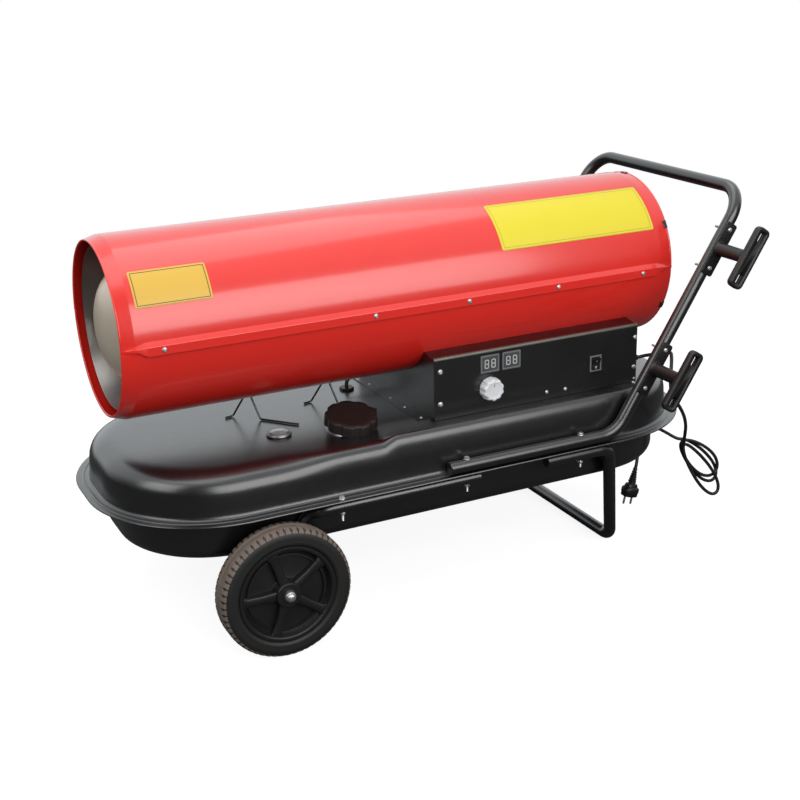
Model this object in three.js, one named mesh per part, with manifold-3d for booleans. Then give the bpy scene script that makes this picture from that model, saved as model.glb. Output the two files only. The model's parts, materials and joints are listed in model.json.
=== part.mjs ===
// A mobile forced air heater: a red shell with an outlet at -X, standing on a black fuel tank that rides on
// two wheels and a rear foot, with a control box on its near side (-Y) and a bent tube handle at +X.
// Lengths are in millimetres and +Z is up. While it is built, x = 0 is the outlet rim and z = 0 is the floor.
import * as THREE from 'three';
import { mergeVertices } from 'three/addons/utils/BufferGeometryUtils.js';
import Module from 'manifold-3d';

const wasm = await Module();
wasm.setup();

// ---------------------------------------------------------------- driving dimensions
const GAP = 0.3; // between pieces that rest on each other
const RUN = 0.4; // radial running clearance of a turning piece

// shell
const SHELL_LENGTH = 1140;
const SHELL_RADIUS = 168;
const SHELL_SHEET = 1.6;
const SHELL_AXIS_Z = 579;
const OUTLET_DRAW_IN = 7.5; // how much smaller the outlet's rim is
const REAR_DRAW_IN = 2;
const RIM_TAPER = 25;
const SEAM_STEP = 7; // how far the seam strip stands out
const SEAM_LIP = 11; // how far it hangs below the axis
const SEAM_START = 28;
const SEAM_RUN_IN = 12;
const TAB_LATER = 4; // the lower half's tab steps out this much later, clear of the lip
const SEAM_KNEE = 12; // height at which the upper half starts to step out
const SEAM_FACE = 6;
const SEAM_END_LIP = 1; // the strip's step and lip where it has run out
const TAB_TOP = 4;
const TAB_ELBOW = -2;
const TAB_KNEE = -7;
const SHELL_ARC_STEPS = 18;

// combustion chamber and burner
const CHAMBER_AIR_GAP = 20; // radial, between the liner and the shell
const CHAMBER_SHEET = 1.5;
const CHAMBER_RECESS = 14;
const MACHINE_ROOM = 486; // length of shell behind the liner
const CHAMBER_FOOT = 16;
const CHAMBER_FOOT_FROM_END = 70;
const CHAMBER_SIDES = 32;
const DOME_RADIUS = 103;
const DOME_BULGE = 56;
const DOME_SHEET = 1.5;
const DOME_POLE_X = 6;
const STRAP_WIDTH = 20;
const FLAME_PLATE_THICK = 2;
const FLAME_PLATE_FROM_END = 30;
const BURNER_RADIUS = 45;
const BURNER_SHEET = 2;
const BURNER_LENGTH = 90;
const BURNER_WEB = 6;
const NOZZLE_RADIUS = 8;
const NOZZLE_LENGTH = 42;
const ELECTRODE_RADIUS = 3;
const ELECTRODE_LENGTH = 60;
const ELECTRODE_OFFSET = 26;
const PHOTOCELL_RADIUS = 9;
const PHOTOCELL_NECK_RADIUS = 6;
const PHOTOCELL_LENGTH = 34;

// fan, motor and pump
const FAN_FROM_REAR = 340;
const FAN_TIP_ROOM = 26; // radial, between the blades and the shell
const FAN_HUB_RADIUS = 32;
const FAN_WIDTH = 44;
const FAN_BLADES = 5;
const FAN_BLADE_THICK = 2.5;
const FAN_BLADE_WIDTH = 76;
const FAN_PITCH = THREE.MathUtils.degToRad(32);
const SHAFT_RADIUS = 7;
const MOTOR_FROM_REAR = 278;
const MOTOR_RADIUS = 58;
const MOTOR_LENGTH = 160;
const BRACKET_WIDTH = 110;
const BRACKET_SHEET = 4;
const PUMP_RADIUS = 46;
const PUMP_LENGTH = 34;
const PUMP_WALL = 5;
const ROTOR_RADIUS = 30;
const COVER_LENGTH = 26;
const PRESSURE_DIAL_RADIUS = 20;
const PRESSURE_DIAL_LENGTH = 14;
const GUARD_SET_BACK = 8;
const GUARD_WIRE = 3.4;
const GUARD_INSIDE = 8; // how much smaller the outer ring is than the shell
const GUARD_RINGS = [48, 86, 124];
const GUARD_MIDDLE_RADIUS = 14;
const GUARD_TABS = 6;
const GUARD_SIDES = 16;
const GUARD_TAB_WIDTH = 16;
const GUARD_TAB_DEPTH = 8;

// fuel tank: rings are given by how far they lie inside the flange's edge
const TANK_X0 = -53.6;
const TANK_LENGTH = 1265.9;
const TANK_HALF_WIDTH = 268;
const TANK_END_RADIUS = 237.6;
const TANK_SHEET = 2;
const FLANGE_Z = 270.2;
const FLANGE_WIDTH = 25;
const FLANGE_SHEET = 1.6;
const TANK_TOP_Z = 350;
const TANK_BOTTOM_Z = 178;
const LOWER_WALL_INSET = 52;
const LOWER_CORNER = 24;
const SHOULDER_FRONT = 83; // run of the soft shoulder at the front
const SHOULDER_REAR = 37; // run of the tighter shoulder behind it
const SHOULDER_CHANGE_X = [240, 370];
const RIDGE_HEIGHT = 11;
const RIDGE_START_X = [452, 480];
const RIDGE_END_X = [1035, 1075];

// filler and cap
const FILLER_X = 434;
const FILLER_Y = -125;
const FILLER_TILT = THREE.MathUtils.degToRad(13);
const NECK_RADIUS = 50;
const NECK_RISE = 9;
const NECK_DROP = 14;
const NECK_SHOULDER = 5;
const NECK_SEAT = 1; // depth of the flat that is pressed into the tank for the neck
const COLLAR_RADIUS = 36;
const COLLAR_WALL = 2.5;
const COLLAR_RISE = 18;
const CAP_RADIUS = 47.5;
const CAP_WALL = 3;
const CAP_GRIPS = 9;
const CAP_GRIP_RADIUS = 8;
const CAP_GRIP_DEPTH = 2.4;
const SEAL_THICK = 3;
const STRAINER_DEPTH = 62;
const STRAINER_WALL = 1.6;

// fuel gauge
const GAUGE_X = 302;
const GAUGE_Y = -91;
const GAUGE_RADIUS = 23;
const GAUGE_HEIGHT = 7;
const GAUGE_BEZEL = 4;
const GAUGE_STEM_RADIUS = 13;
const GAUGE_ROD_RADIUS = 3;
const GAUGE_ROD_END_Z = 186;
const POINTER_THICK = 0.8;
const FLOAT_RADIUS = 20;
const FLOAT_HEIGHT = 24;
const FLOAT_REST_Z = 190;

// fuel pickup and drain
const PICKUP_X = 520;
const PICKUP_Y = 82;
const PICKUP_RADIUS = 4;
const PICKUP_FLANGE_RADIUS = 15;
const PICKUP_FLANGE_THICK = 5;
const PICKUP_END_Z = 192;
const PICKUP_RISE_Z = 374;
const DRAIN_Z = 217;
const DRAIN_RADIUS = 9;
const DRAIN_IN = 12;
const DRAIN_HEAD_RADIUS = 13;
const DRAIN_HEAD = 6;

// control box and panel
const BOX_X0 = 589;
const BOX_X1 = 1055;
const BOX_BEYOND_SHELL = 5; // the box's sides stand this far outside the shell's
const BOX_TOP_Z = 470;
const BOX_SLOPE_RISE = 8;
const BOX_SHEET = 2;
const BOX_FRAME = 12; // the panel rests on a frame this wide
const BOX_FRAME_TOP = 3;
const BOX_FOOT = 29;
const PANEL_SHEET = 1.8;
const PANEL_ROLL_RADIUS = 3;
const DISPLAY_CENTRES_X = [710.5, 758.5];
const DISPLAY_Z = 446;
const DISPLAY_WIDTH = 41;
const DISPLAY_HEIGHT = 35;
const DISPLAY_DEPTH = 14;
const DISPLAY_PROUD = 1;
const KNOB_X = 709;
const KNOB_Z = 397;
const KNOB_RADIUS = 23.5;
const KNOB_DEPTH = 20;
const KNOB_GRIPS = 8;
const KNOB_GRIP_RADIUS = 5.5;
const KNOB_GRIP_DEPTH = 2.2;
const KNOB_SHAFT_RADIUS = 3;
const KNOB_SHAFT_ROOM = 1.5;
const KNOB_STAND_OFF = 1.2;
const THERMOSTAT_SIZE = [34, 26, 30];
const SWITCH_X = 954;
const SWITCH_Z = 406.5;
const SWITCH_WIDTH = 27;
const SWITCH_HEIGHT = 33;
const SWITCH_BORDER = 3.2;
const SWITCH_DEPTH = 22;
const SWITCH_PROUD = 2;
const SWITCH_FLOOR = 3;
const ROCKER_TILT = THREE.MathUtils.degToRad(9);
const BOARD_X = [620, 800];
const BOARD_Y = [-70, 70];
const BOARD_THICK = 1.8;
const BOARD_STAND = 8;
const BOARD_POST_INSET = 8;
const BOARD_POST_RADIUS = 3;
const TRANSFORMER_FROM_REAR = 115;
const TRANSFORMER_Y = 55;
const TRANSFORMER_SIZE = [100, 70];
const TRANSFORMER_HEADROOM = 3; // under the shell
const TRANSFORMER_POST = [6, 5]; // radius, rise
const GLAND_FROM_SIDE = 23;
const GLAND_Z = 392;
const GLAND_RADIUS = 7;
const GLAND_NUT_RADIUS = 10;
const GLAND_LENGTH = 20;

// tube work
const TUBE_RADIUS = 12.5;
const TUBE_SIDES = 10;
const HANDLE_Y = 256;
const HANDLE_FRONT_X = 576;
const LEG_BASE_X = 950.5; // where the leg's line meets the lying tube's line
const LEG_ANGLE = THREE.MathUtils.degToRad(57.4);
const HANDLE_BAR_Z = 739;
const HANDLE_BEND = 62;
const FOOT_FRONT_X = 790;
const FOOT_Y = 254;
const FOOT_BEND_X = 938;
const FOOT_BAR_X = 1005;
const FOOT_BAR_HALF = 171;
const FOOT_BEND = 34;
const WHEEL_TUBE_RADIUS = 11;
const WHEEL_TUBE_REAR_X = 640;
const WHEEL_TUBE_INNER_Y = 229.5;
const WHEEL_TUBE_TURN = [[134, 0, 0], [108, 2, 1], [90, 8, 5]]; // x from the axle, inwards, down
const WHEEL_TUBE_DROP = [[73, 4, 13], [57, 0, 30]]; // x from the axle, out from its inner line, down
const WHEEL_TUBE_END = [[36, 64], [5, 8]]; // x and z from the axle

// wheels
const WHEEL_RADIUS = 125;
const WHEEL_X = 228;
const WHEEL_OUTER_Y = 296;
const TYRE_WIDTH = 54;
const TYRE_DEPTH = 32;
const TYRE_SHOULDER = 9;
const HUB_BOSS_RADIUS = 23;
const HUB_WEB = 10;
const HUB_WEB_OFFSET = 4; // towards the outside of the wheel
const HUB_FACE_INSET = 3;
const HUB_RIM = 9;
const SPOKES = 5;
const SPOKE_WIDTH = 19;
const SPOKE_DEPTH = 12;
const AXLE_RADIUS = 8;
const AXLE_OVERHANG = 9;
const EYE_RADIUS = 16;
const EYE_WIDTH = 20;
const NUT_RADIUS = 10.5;
const NUT_LENGTH = 13;

// cord wraps on the near leg
const WRAP_Z = [632, 408];
const WRAP_PLATE = [28, 3, 112];
const WRAP_STEM_RADIUS = 9;
const WRAP_STEM = 80;
const WRAP_BAR = [27, 11, 124];
const WRAP_RECESS = [8, 20];
const WRAP_RECESS_AT = 44;
const WRAP_RECESS_DEPTH = 5;

// bent support wires between the tank and the shell
const WIRE_RADIUS = 2;
const WIRE_FRONT_X = 243;
const WIRE_SPACING = 165;
const WIRE_BEND = 5;
const WIRE_FOOT = [[0, 41], [17, 45]]; // x from the wire's start, y
const WIRE_APEX = [42, 20]; // lies against the shell
const WIRE_TAIL = [[57, 0], [99, -51], [111, -63]];

// power cord: round, its points chosen by eye along its route
const CORD_RADIUS = 3.6;
const LEAD_POINTS = [[1092, -153, 394], [1106, -180, 403], [1096, -225, 419], [1072, -268, 427]];
const LEAD_DROP = [[1046, -303, 370], [1078, -292, 328], [1118, -258, 288], [1152, -222, 246]];
const HANK_AT = [1198, -150, 177];
const HANK_TURN = THREE.MathUtils.degToRad(-38.4);
const HANK_LAYER = 8.2;
const TAIL_POINTS = [[1168, -92, 202], [1150, -82, 178], [1132, -88, 148]];
const PLUG_AT = [1118, -100, 118];
const PLUG_TILT = THREE.MathUtils.degToRad(14);
const PLUG_RADIUS = 19;
const PLUG_BODY = 30;
const PLUG_RELIEF = 34;
const PLUG_PIN_RADIUS = 2.4;
const PLUG_PIN_LENGTH = 19;
const PLUG_PIN_SPACING = 19;

// ---------------------------------------------------------------- materials
function paint(color, roughness = 0.4, metalness = 0.1) {
  return new THREE.MeshStandardMaterial({ color, roughness, metalness });
}
const RED = paint(0xd8261f, 0.3);
const BLACK_PAINT = paint(0x16171a, 0.35, 0.2);
const BLACK_PLASTIC = paint(0x1a1a1b, 0.55, 0);
const RUBBER = paint(0x4a4038, 0.85, 0);
const CORD_RUBBER = paint(0x141416, 0.6, 0);
const STAINLESS = paint(0xb3ab9a, 0.35, 0.9);
const STEEL = paint(0xc0c2c4, 0.35, 0.9);
const BRASS = paint(0xb5923c, 0.35, 0.9);
const ALUMINIUM = paint(0xa7a9ab, 0.45, 0.8);
const PALE_PLASTIC = paint(0xd9dadb, 0.45, 0);
const GLASS = paint(0xdfe8ea, 0.1, 0);
const BOARD_GREEN = paint(0x1e5b38, 0.6, 0);

// ---------------------------------------------------------------- shape helpers
const UP = new THREE.Vector3(0, 1, 0);

function bare(geometry) {
  const copy = geometry.clone();
  copy.deleteAttribute('normal');
  copy.deleteAttribute('uv');
  return mergeVertices(copy, 1e-4);
}

function signedVolume(geometry) {
  const p = geometry.attributes.position;
  const index = geometry.index;
  const [a, b, c] = [new THREE.Vector3(), new THREE.Vector3(), new THREE.Vector3()];
  let sum = 0;
  for (let i = 0; i < index.count; i += 3) {
    a.fromBufferAttribute(p, index.getX(i));
    b.fromBufferAttribute(p, index.getX(i + 1));
    c.fromBufferAttribute(p, index.getX(i + 2));
    sum += a.dot(b.cross(c)) / 6;
  }
  return sum;
}

// turns a closed geometry's faces outwards
function outward(geometry) {
  const merged = bare(geometry);
  if (signedVolume(merged) > 0) return merged;
  const index = merged.index.array;
  for (let i = 0; i < index.length; i += 3) {
    const swap = index[i];
    index[i] = index[i + 1];
    index[i + 1] = swap;
  }
  return merged;
}

function solid(geometry) {
  const merged = outward(geometry);
  const mesh = new wasm.Mesh({
    numProp: 3,
    vertProperties: new Float32Array(merged.attributes.position.array),
    triVerts: new Uint32Array(merged.index.array),
  });
  return new wasm.Manifold(mesh);
}

function fromSolid(manifold) {
  const mesh = manifold.getMesh();
  const geometry = new THREE.BufferGeometry();
  geometry.setAttribute('position', new THREE.BufferAttribute(new Float32Array(mesh.vertProperties), 3));
  geometry.setIndex(new THREE.BufferAttribute(new Uint32Array(mesh.triVerts), 1));
  return geometry;
}

function join(...geometries) {
  return fromSolid(geometries.map(solid).reduce((sum, next) => sum.add(next)));
}

function cut(geometry, ...tools) {
  return fromSolid(tools.map(solid).reduce((left, tool) => left.subtract(tool), solid(geometry)));
}

function box(low, high) {
  const size = high.map((value, axis) => value - low[axis]);
  const middle = high.map((value, axis) => (value + low[axis]) / 2);
  return new THREE.BoxGeometry(...size).translate(...middle);
}

// a round bar from one point to another
function bar(from, to, radius, sides = 16, endRadius = radius) {
  const a = new THREE.Vector3(...from);
  const b = new THREE.Vector3(...to);
  const geometry = new THREE.CylinderGeometry(endRadius, radius, a.distanceTo(b), sides);
  const turn = new THREE.Quaternion().setFromUnitVectors(UP, b.clone().sub(a).normalize());
  return geometry.applyQuaternion(turn).translate(...a.add(b).multiplyScalar(0.5).toArray());
}

// a solid turned about its own Y axis from [radius, height] corners
function turned(corners, sides = 16) {
  const points = corners.map(([radius, height]) => new THREE.Vector2(radius, height));
  if (corners[0][0] > 0 || corners.at(-1)[0] > 0) points.push(points[0].clone());
  return new THREE.LatheGeometry(points, sides);
}

function washer(inner, outer, from, to, sides = 16) {
  return turned([[inner, from], [outer, from], [outer, to], [inner, to]], sides);
}

function disc(radius, from, to, sides = 16) {
  return turned([[0, from], [radius, from], [radius, to], [0, to]], sides);
}

// a path whose stations are kept as given, so a bend can have more of them than a straight
class StationPath extends THREE.Curve {
  constructor(stations) {
    super();
    this.stations = stations;
  }

  getPoint(t, target = new THREE.Vector3()) {
    const last = this.stations.length - 1;
    const at = Math.min(Math.max(t, 0), 1) * last;
    const from = Math.min(Math.floor(at + 1e-9), last - 1);
    return target.lerpVectors(this.stations[from], this.stations[from + 1], at - from);
  }

  getPointAt(u, target) {
    return this.getPoint(u, target);
  }

  getTangentAt(u, target = new THREE.Vector3()) {
    const last = this.stations.length - 1;
    const at = Math.round(u * last);
    const ahead = this.stations[Math.min(at + 1, last)].clone().sub(this.stations[at]).normalize();
    const behind = this.stations[at].clone().sub(this.stations[Math.max(at - 1, 0)]).normalize();
    return target.copy(ahead.add(behind)).normalize();
  }
}

function sweep(stations, radius, sides) {
  const section = new THREE.Shape();
  for (let k = 0; k < sides; k += 1) {
    const angle = (2 * Math.PI * k) / sides;
    const [x, y] = [radius * Math.cos(angle), radius * Math.sin(angle)];
    if (k === 0) section.moveTo(x, y);
    else section.lineTo(x, y);
  }
  section.closePath();
  return outward(new THREE.ExtrudeGeometry(section, {
    extrudePath: new StationPath(stations),
    steps: stations.length - 1,
    curveSegments: 1,
  }));
}

// rounds the corners of a polyline with arcs of one bend radius
function filleted(points, bend, stepAngle = THREE.MathUtils.degToRad(20)) {
  const corners = points.map((point) => new THREE.Vector3(...point));
  const stations = [corners[0]];
  for (let k = 1; k < corners.length - 1; k += 1) {
    const into = corners[k].clone().sub(corners[k - 1]).normalize();
    const out = corners[k + 1].clone().sub(corners[k]).normalize();
    const angle = into.angleTo(out);
    const reach = bend * Math.tan(angle / 2);
    const start = corners[k].clone().addScaledVector(into, -reach);
    const inward = out.clone().sub(into).normalize();
    const centre = corners[k].clone().addScaledVector(inward, bend / Math.cos(angle / 2));
    const arm = start.clone().sub(centre);
    const axis = into.clone().cross(out).normalize();
    const steps = Math.max(2, Math.ceil(angle / stepAngle));
    for (let s = 0; s <= steps; s += 1) {
      stations.push(centre.clone().add(arm.clone().applyAxisAngle(axis, (angle * s) / steps)));
    }
  }
  stations.push(corners.at(-1));
  return stations;
}

// skins a row of rings that have equally many points, and closes it with a fan at each end
function skin(rings) {
  const count = rings[0].length;
  const positions = [];
  const index = [];
  for (const ring of rings) for (const point of ring) positions.push(...point);
  for (let r = 0; r < rings.length - 1; r += 1) {
    for (let k = 0; k < count; k += 1) {
      const a = r * count + k;
      const b = r * count + ((k + 1) % count);
      index.push(a, b, a + count, b, b + count, a + count);
    }
  }
  const caps = [[0, 1], [rings.length - 1, -1]];
  for (const [r, side] of caps) {
    const centre = positions.length / 3;
    const middle = [0, 1, 2].map((axis) => rings[r].reduce((sum, p) => sum + p[axis], 0) / count);
    positions.push(...middle);
    for (let k = 0; k < count; k += 1) {
      const a = r * count + k;
      const b = r * count + ((k + 1) % count);
      if (side > 0) index.push(centre, b, a);
      else index.push(centre, a, b);
    }
  }
  const geometry = new THREE.BufferGeometry();
  geometry.setAttribute('position', new THREE.Float32BufferAttribute(positions, 3));
  geometry.setIndex(index);
  return outward(geometry);
}

// skins outlines that lie in planes across X; the end faces are cut into triangles, so they may be hollowed
function loftAlongX(stations) {
  const count = stations[0].outline.length;
  const positions = [];
  const index = [];
  for (const { x, outline } of stations) for (const [y, z] of outline) positions.push(x, y, z);
  for (let r = 0; r < stations.length - 1; r += 1) {
    for (let k = 0; k < count; k += 1) {
      const a = r * count + k;
      const b = r * count + ((k + 1) % count);
      index.push(a, b, a + count, b, b + count, a + count);
    }
  }
  const last = (stations.length - 1) * count;
  for (const [start, flip, { outline }] of [[0, false, stations[0]], [last, true, stations.at(-1)]]) {
    const contour = outline.map(([y, z]) => new THREE.Vector2(y, z));
    const clockwise = THREE.ShapeUtils.isClockWise(contour);
    const faces = THREE.ShapeUtils.triangulateShape(contour, []);
    const along = (a, b, c) => (a.x - c.x) * (b.y - c.y) - (b.x - c.x) * (a.y - c.y);
    for (const [i, j, k] of faces) {
      const turnsLeft = along(contour[i], contour[j], contour[k]) > 0;
      const sameAsRing = turnsLeft !== clockwise;
      const keep = sameAsRing === flip;
      if (keep) index.push(start + i, start + j, start + k);
      else index.push(start + i, start + k, start + j);
    }
  }
  const geometry = new THREE.BufferGeometry();
  geometry.setAttribute('position', new THREE.Float32BufferAttribute(positions, 3));
  geometry.setIndex(index);
  return outward(geometry);
}

// moves an open line sideways by a distance, to the right of its run when the distance is positive
function offsetLine(line, distance) {
  return line.map(([y, z], k) => {
    const [py, pz] = line[Math.max(k - 1, 0)];
    const [ny, nz] = line[Math.min(k + 1, line.length - 1)];
    const before = new THREE.Vector2(y - py, z - pz).normalize();
    const after = new THREE.Vector2(ny - y, nz - z).normalize();
    const along = before.clone().add(after).normalize();
    const inner = k > 0 && k < line.length - 1 ? Math.max(before.dot(along), 0.5) : 1;
    return [y + (along.y * distance) / inner, z - (along.x * distance) / inner];
  });
}

function smoothstep(value, [from, to]) {
  return THREE.MathUtils.smoothstep(value, from, to);
}

// ---------------------------------------------------------------- the object
const heater = new THREE.Group();

// quarter turns that lay a piece's own Y axis along another axis
const ALONG_X = new THREE.Euler(0, 0, -Math.PI / 2);
const ALONG_Z = new THREE.Euler(Math.PI / 2, 0, 0);
const TOWARDS_VIEW = new THREE.Euler(Math.PI, 0, 0); // its own +Y points to -Y
const UPRIGHT = new THREE.Euler(0, 0, 0);

function add(name, geometry, material, at = [0, 0, 0], turn = UPRIGHT, parent = heater) {
  const mesh = new THREE.Mesh(outward(geometry), material);
  mesh.name = name;
  mesh.position.set(...at);
  mesh.rotation.copy(turn);
  parent.add(mesh);
  return mesh;
}

function onShellAxis(x) {
  return [x, 0, SHELL_AXIS_Z];
}

// ---- shell halves
const OUTLET_RIM_RADIUS = SHELL_RADIUS - OUTLET_DRAW_IN;
const REAR_RIM_RADIUS = SHELL_RADIUS - REAR_DRAW_IN;

function seamPath(radius, step, lip, isUpper) {
  const knee = isUpper ? SEAM_KNEE : TAB_KNEE;
  const tabRadius = radius + step - SHELL_SHEET - GAP;
  const start = Math.asin(knee / radius);
  const arc = [];
  for (let k = 0; k <= SHELL_ARC_STEPS; k += 1) {
    const angle = start + ((Math.PI - 2 * start) * k) / SHELL_ARC_STEPS;
    arc.push([-radius * Math.cos(angle), radius * Math.sin(angle)]);
  }
  if (isUpper) {
    const edge = radius + step;
    return [[-edge, -lip], [-edge, SEAM_FACE], ...arc, [edge, SEAM_FACE], [edge, -lip]];
  }
  const lower = arc.map(([y]) => y).map((y, k) => {
    const angle = -start + ((Math.PI + 2 * start) * k) / SHELL_ARC_STEPS;
    return [-radius * Math.cos(angle), -radius * Math.sin(angle)];
  });
  const tab = [[tabRadius, TAB_ELBOW], [tabRadius, TAB_TOP]];
  return [...tab.map(([y, z]) => [-y, z]).reverse(), ...lower, ...tab];
}

function shellHalf(isUpper) {
  const narrow = { step: SEAM_END_LIP, lip: SEAM_END_LIP };
  const full = { step: SEAM_STEP, lip: SEAM_LIP };
  const seamStart = SEAM_START + (isUpper ? 0 : TAB_LATER);
  const rows = [
    [0, OUTLET_RIM_RADIUS, narrow],
    [RIM_TAPER, SHELL_RADIUS, narrow],
    [seamStart, SHELL_RADIUS, narrow],
    [seamStart + SEAM_RUN_IN, SHELL_RADIUS, full],
    [SHELL_LENGTH - seamStart - SEAM_RUN_IN, SHELL_RADIUS, full],
    [SHELL_LENGTH - seamStart, SHELL_RADIUS, narrow],
    [SHELL_LENGTH - RIM_TAPER, SHELL_RADIUS, narrow],
    [SHELL_LENGTH, REAR_RIM_RADIUS, narrow],
  ];
  const inwards = isUpper ? SHELL_SHEET : -SHELL_SHEET;
  const stations = rows.map(([x, radius, { step, lip }]) => {
    const outer = seamPath(radius, step, lip, isUpper);
    const inner = offsetLine(outer, inwards).reverse();
    return { x, outline: [...outer, ...inner].map(([y, z]) => [y, z + SHELL_AXIS_Z]) };
  });
  return loftAlongX(stations);
}

// the guard's tabs stand in slots of the rear rim
function guardTabAngles(isUpper) {
  const angles = [];
  for (let k = 0; k < GUARD_TABS; k += 1) {
    const angle = THREE.MathUtils.degToRad(30) + (2 * Math.PI * k) / GUARD_TABS;
    if ((Math.sin(angle) > 0) === isUpper) angles.push(angle);
  }
  return angles;
}

function tabBlock(angle, inner, outer, clearance) {
  const back = SHELL_LENGTH + (clearance > 0 ? 5 : -1);
  const front = SHELL_LENGTH - GUARD_TAB_DEPTH - 1 - clearance;
  const half = GUARD_TAB_WIDTH / 2 + clearance;
  return box([front, -half, inner], [back, half, outer])
    .applyMatrix4(new THREE.Matrix4().makeRotationX(angle - Math.PI / 2))
    .translate(0, 0, SHELL_AXIS_Z);
}

function slottedShell(isUpper) {
  const slots = guardTabAngles(isUpper).map((angle) => {
    return tabBlock(angle, REAR_RIM_RADIUS - 12, SHELL_RADIUS + 6, GAP);
  });
  return cut(shellHalf(isUpper), ...slots);
}
add('upper_shell', slottedShell(true), RED);
add('lower_shell', slottedShell(false), RED);

// ---- combustion chamber: a liner on eight feet that stand on the shell's inside
const CHAMBER_RADIUS = SHELL_RADIUS - CHAMBER_AIR_GAP;
const CHAMBER_LENGTH = SHELL_LENGTH - CHAMBER_RECESS - MACHINE_ROOM;
const CHAMBER_END = CHAMBER_RECESS + CHAMBER_LENGTH;
const CHAMBER_BORE = CHAMBER_RADIUS - CHAMBER_SHEET;
const SHELL_BORE = SHELL_RADIUS - SHELL_SHEET;
const SHELL_FLAT = SHELL_RADIUS * Math.cos(Math.PI / (2 * SHELL_ARC_STEPS)) - SHELL_SHEET; // least bore

function chamber() {
  const feet = [];
  for (const x of [CHAMBER_RECESS + CHAMBER_FOOT_FROM_END, CHAMBER_END - CHAMBER_FOOT_FROM_END]) {
    for (let k = 0; k < 4; k += 1) {
      const foot = box(
        [x - CHAMBER_FOOT / 2, -CHAMBER_FOOT / 2, CHAMBER_RADIUS - 0.8],
        [x + CHAMBER_FOOT / 2, CHAMBER_FOOT / 2, SHELL_FLAT - 2 * GAP],
      );
      feet.push(foot.applyMatrix4(new THREE.Matrix4().makeRotationX(Math.PI / 4 + (k * Math.PI) / 2)));
    }
  }
  const liner = washer(CHAMBER_BORE, CHAMBER_RADIUS, CHAMBER_RECESS, CHAMBER_END, CHAMBER_SIDES);
  return join(liner.rotateZ(-Math.PI / 2), ...feet);
}
add('combustion_chamber', chamber(), STAINLESS, onShellAxis(0));

// the domed disc in the outlet, held by three straps that end on the liner
function outletDome() {
  const baseX = DOME_POLE_X + DOME_BULGE;
  const outer = [];
  const inner = [];
  const steps = 5;
  for (let k = 0; k <= steps; k += 1) {
    const angle = (Math.PI / 2) * (k / steps);
    outer.push([DOME_RADIUS * Math.sin(angle), -DOME_BULGE * Math.cos(angle)]);
    const reach = [DOME_RADIUS - DOME_SHEET, DOME_BULGE - DOME_SHEET];
    inner.push([reach[0] * Math.sin(angle), -reach[1] * Math.cos(angle)]);
  }
  const dome = turned([...outer, ...inner.reverse()], 20).rotateZ(-Math.PI / 2).translate(baseX, 0, 0);
  const straps = [90, 210, 330].map((degrees) => {
    const strap = box(
      [baseX - DOME_SHEET - 4, -STRAP_WIDTH / 2, DOME_RADIUS - 3.5],
      [baseX - DOME_SHEET - 2, STRAP_WIDTH / 2, CHAMBER_BORE - 1.2],
    );
    const turn = THREE.MathUtils.degToRad(degrees - 90);
    return strap.applyMatrix4(new THREE.Matrix4().makeRotationX(turn));
  });
  return join(dome, ...straps);
}
add('outlet_dome', outletDome(), STAINLESS, onShellAxis(0));

// ---- burner: a plate with a ring of air slots, the burner head in its middle
const FLAME_PLATE_X = CHAMBER_END - FLAME_PLATE_FROM_END;
const AIR_SLOTS = 6;
const AIR_SLOT_RADIUS = 12;
const AIR_SLOT_AT = 95;

function flamePlate() {
  const plate = washer(BURNER_RADIUS + GAP, CHAMBER_BORE - 2 * GAP, 0, FLAME_PLATE_THICK, CHAMBER_SIDES);
  const holes = [];
  for (let k = 0; k < AIR_SLOTS; k += 1) {
    const angle = (2 * Math.PI * k) / AIR_SLOTS;
    const hole = new THREE.CylinderGeometry(AIR_SLOT_RADIUS, AIR_SLOT_RADIUS, 20, 8);
    holes.push(hole.translate(AIR_SLOT_AT * Math.cos(angle), 0, AIR_SLOT_AT * Math.sin(angle)));
  }
  return cut(plate, ...holes);
}
add('flame_plate', flamePlate(), STAINLESS, onShellAxis(FLAME_PLATE_X), ALONG_X);

const BURNER_X = FLAME_PLATE_X - 12;
const BURNER_FLANGE = 7;

function burnerHead() {
  const r = BURNER_RADIUS;
  const bore = r - BURNER_SHEET;
  const webAt = BURNER_LENGTH * 0.45;
  const flangeAt = 12 + FLAME_PLATE_THICK + GAP;
  const body = turned([
    [NOZZLE_RADIUS + GAP, webAt], [bore, webAt], [bore, 0], [r, 0], [r, flangeAt],
    [r + BURNER_FLANGE, flangeAt], [r + BURNER_FLANGE, flangeAt + 3], [r, flangeAt + 3],
    [r, BURNER_LENGTH], [bore, BURNER_LENGTH], [bore, webAt + BURNER_WEB],
    [NOZZLE_RADIUS + GAP, webAt + BURNER_WEB],
  ]);
  const webHole = (z, radius) => bar([0, 0, z], [0, BURNER_LENGTH, z], radius + GAP, 12);
  const electrodeHole = webHole(-ELECTRODE_OFFSET, ELECTRODE_RADIUS);
  return cut(body, electrodeHole, webHole(ELECTRODE_OFFSET, PHOTOCELL_NECK_RADIUS));
}
add('burner_head', burnerHead(), STEEL, onShellAxis(BURNER_X), ALONG_X);

const WEB_X = BURNER_X + BURNER_LENGTH * 0.45;

function nozzle() {
  const r = NOZZLE_RADIUS;
  const shoulder = BURNER_WEB + GAP;
  return turned([
    [0, -NOZZLE_LENGTH / 2], [3, -NOZZLE_LENGTH / 2], [r, -NOZZLE_LENGTH / 2 + 7], [r, shoulder],
    [r + 4, shoulder], [r + 4, shoulder + 8], [r - 2, shoulder + 8], [r - 2, NOZZLE_LENGTH / 2 + 4],
    [0, NOZZLE_LENGTH / 2 + 4],
  ]);
}
add('fuel_nozzle', nozzle(), BRASS, onShellAxis(WEB_X), ALONG_X);

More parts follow.
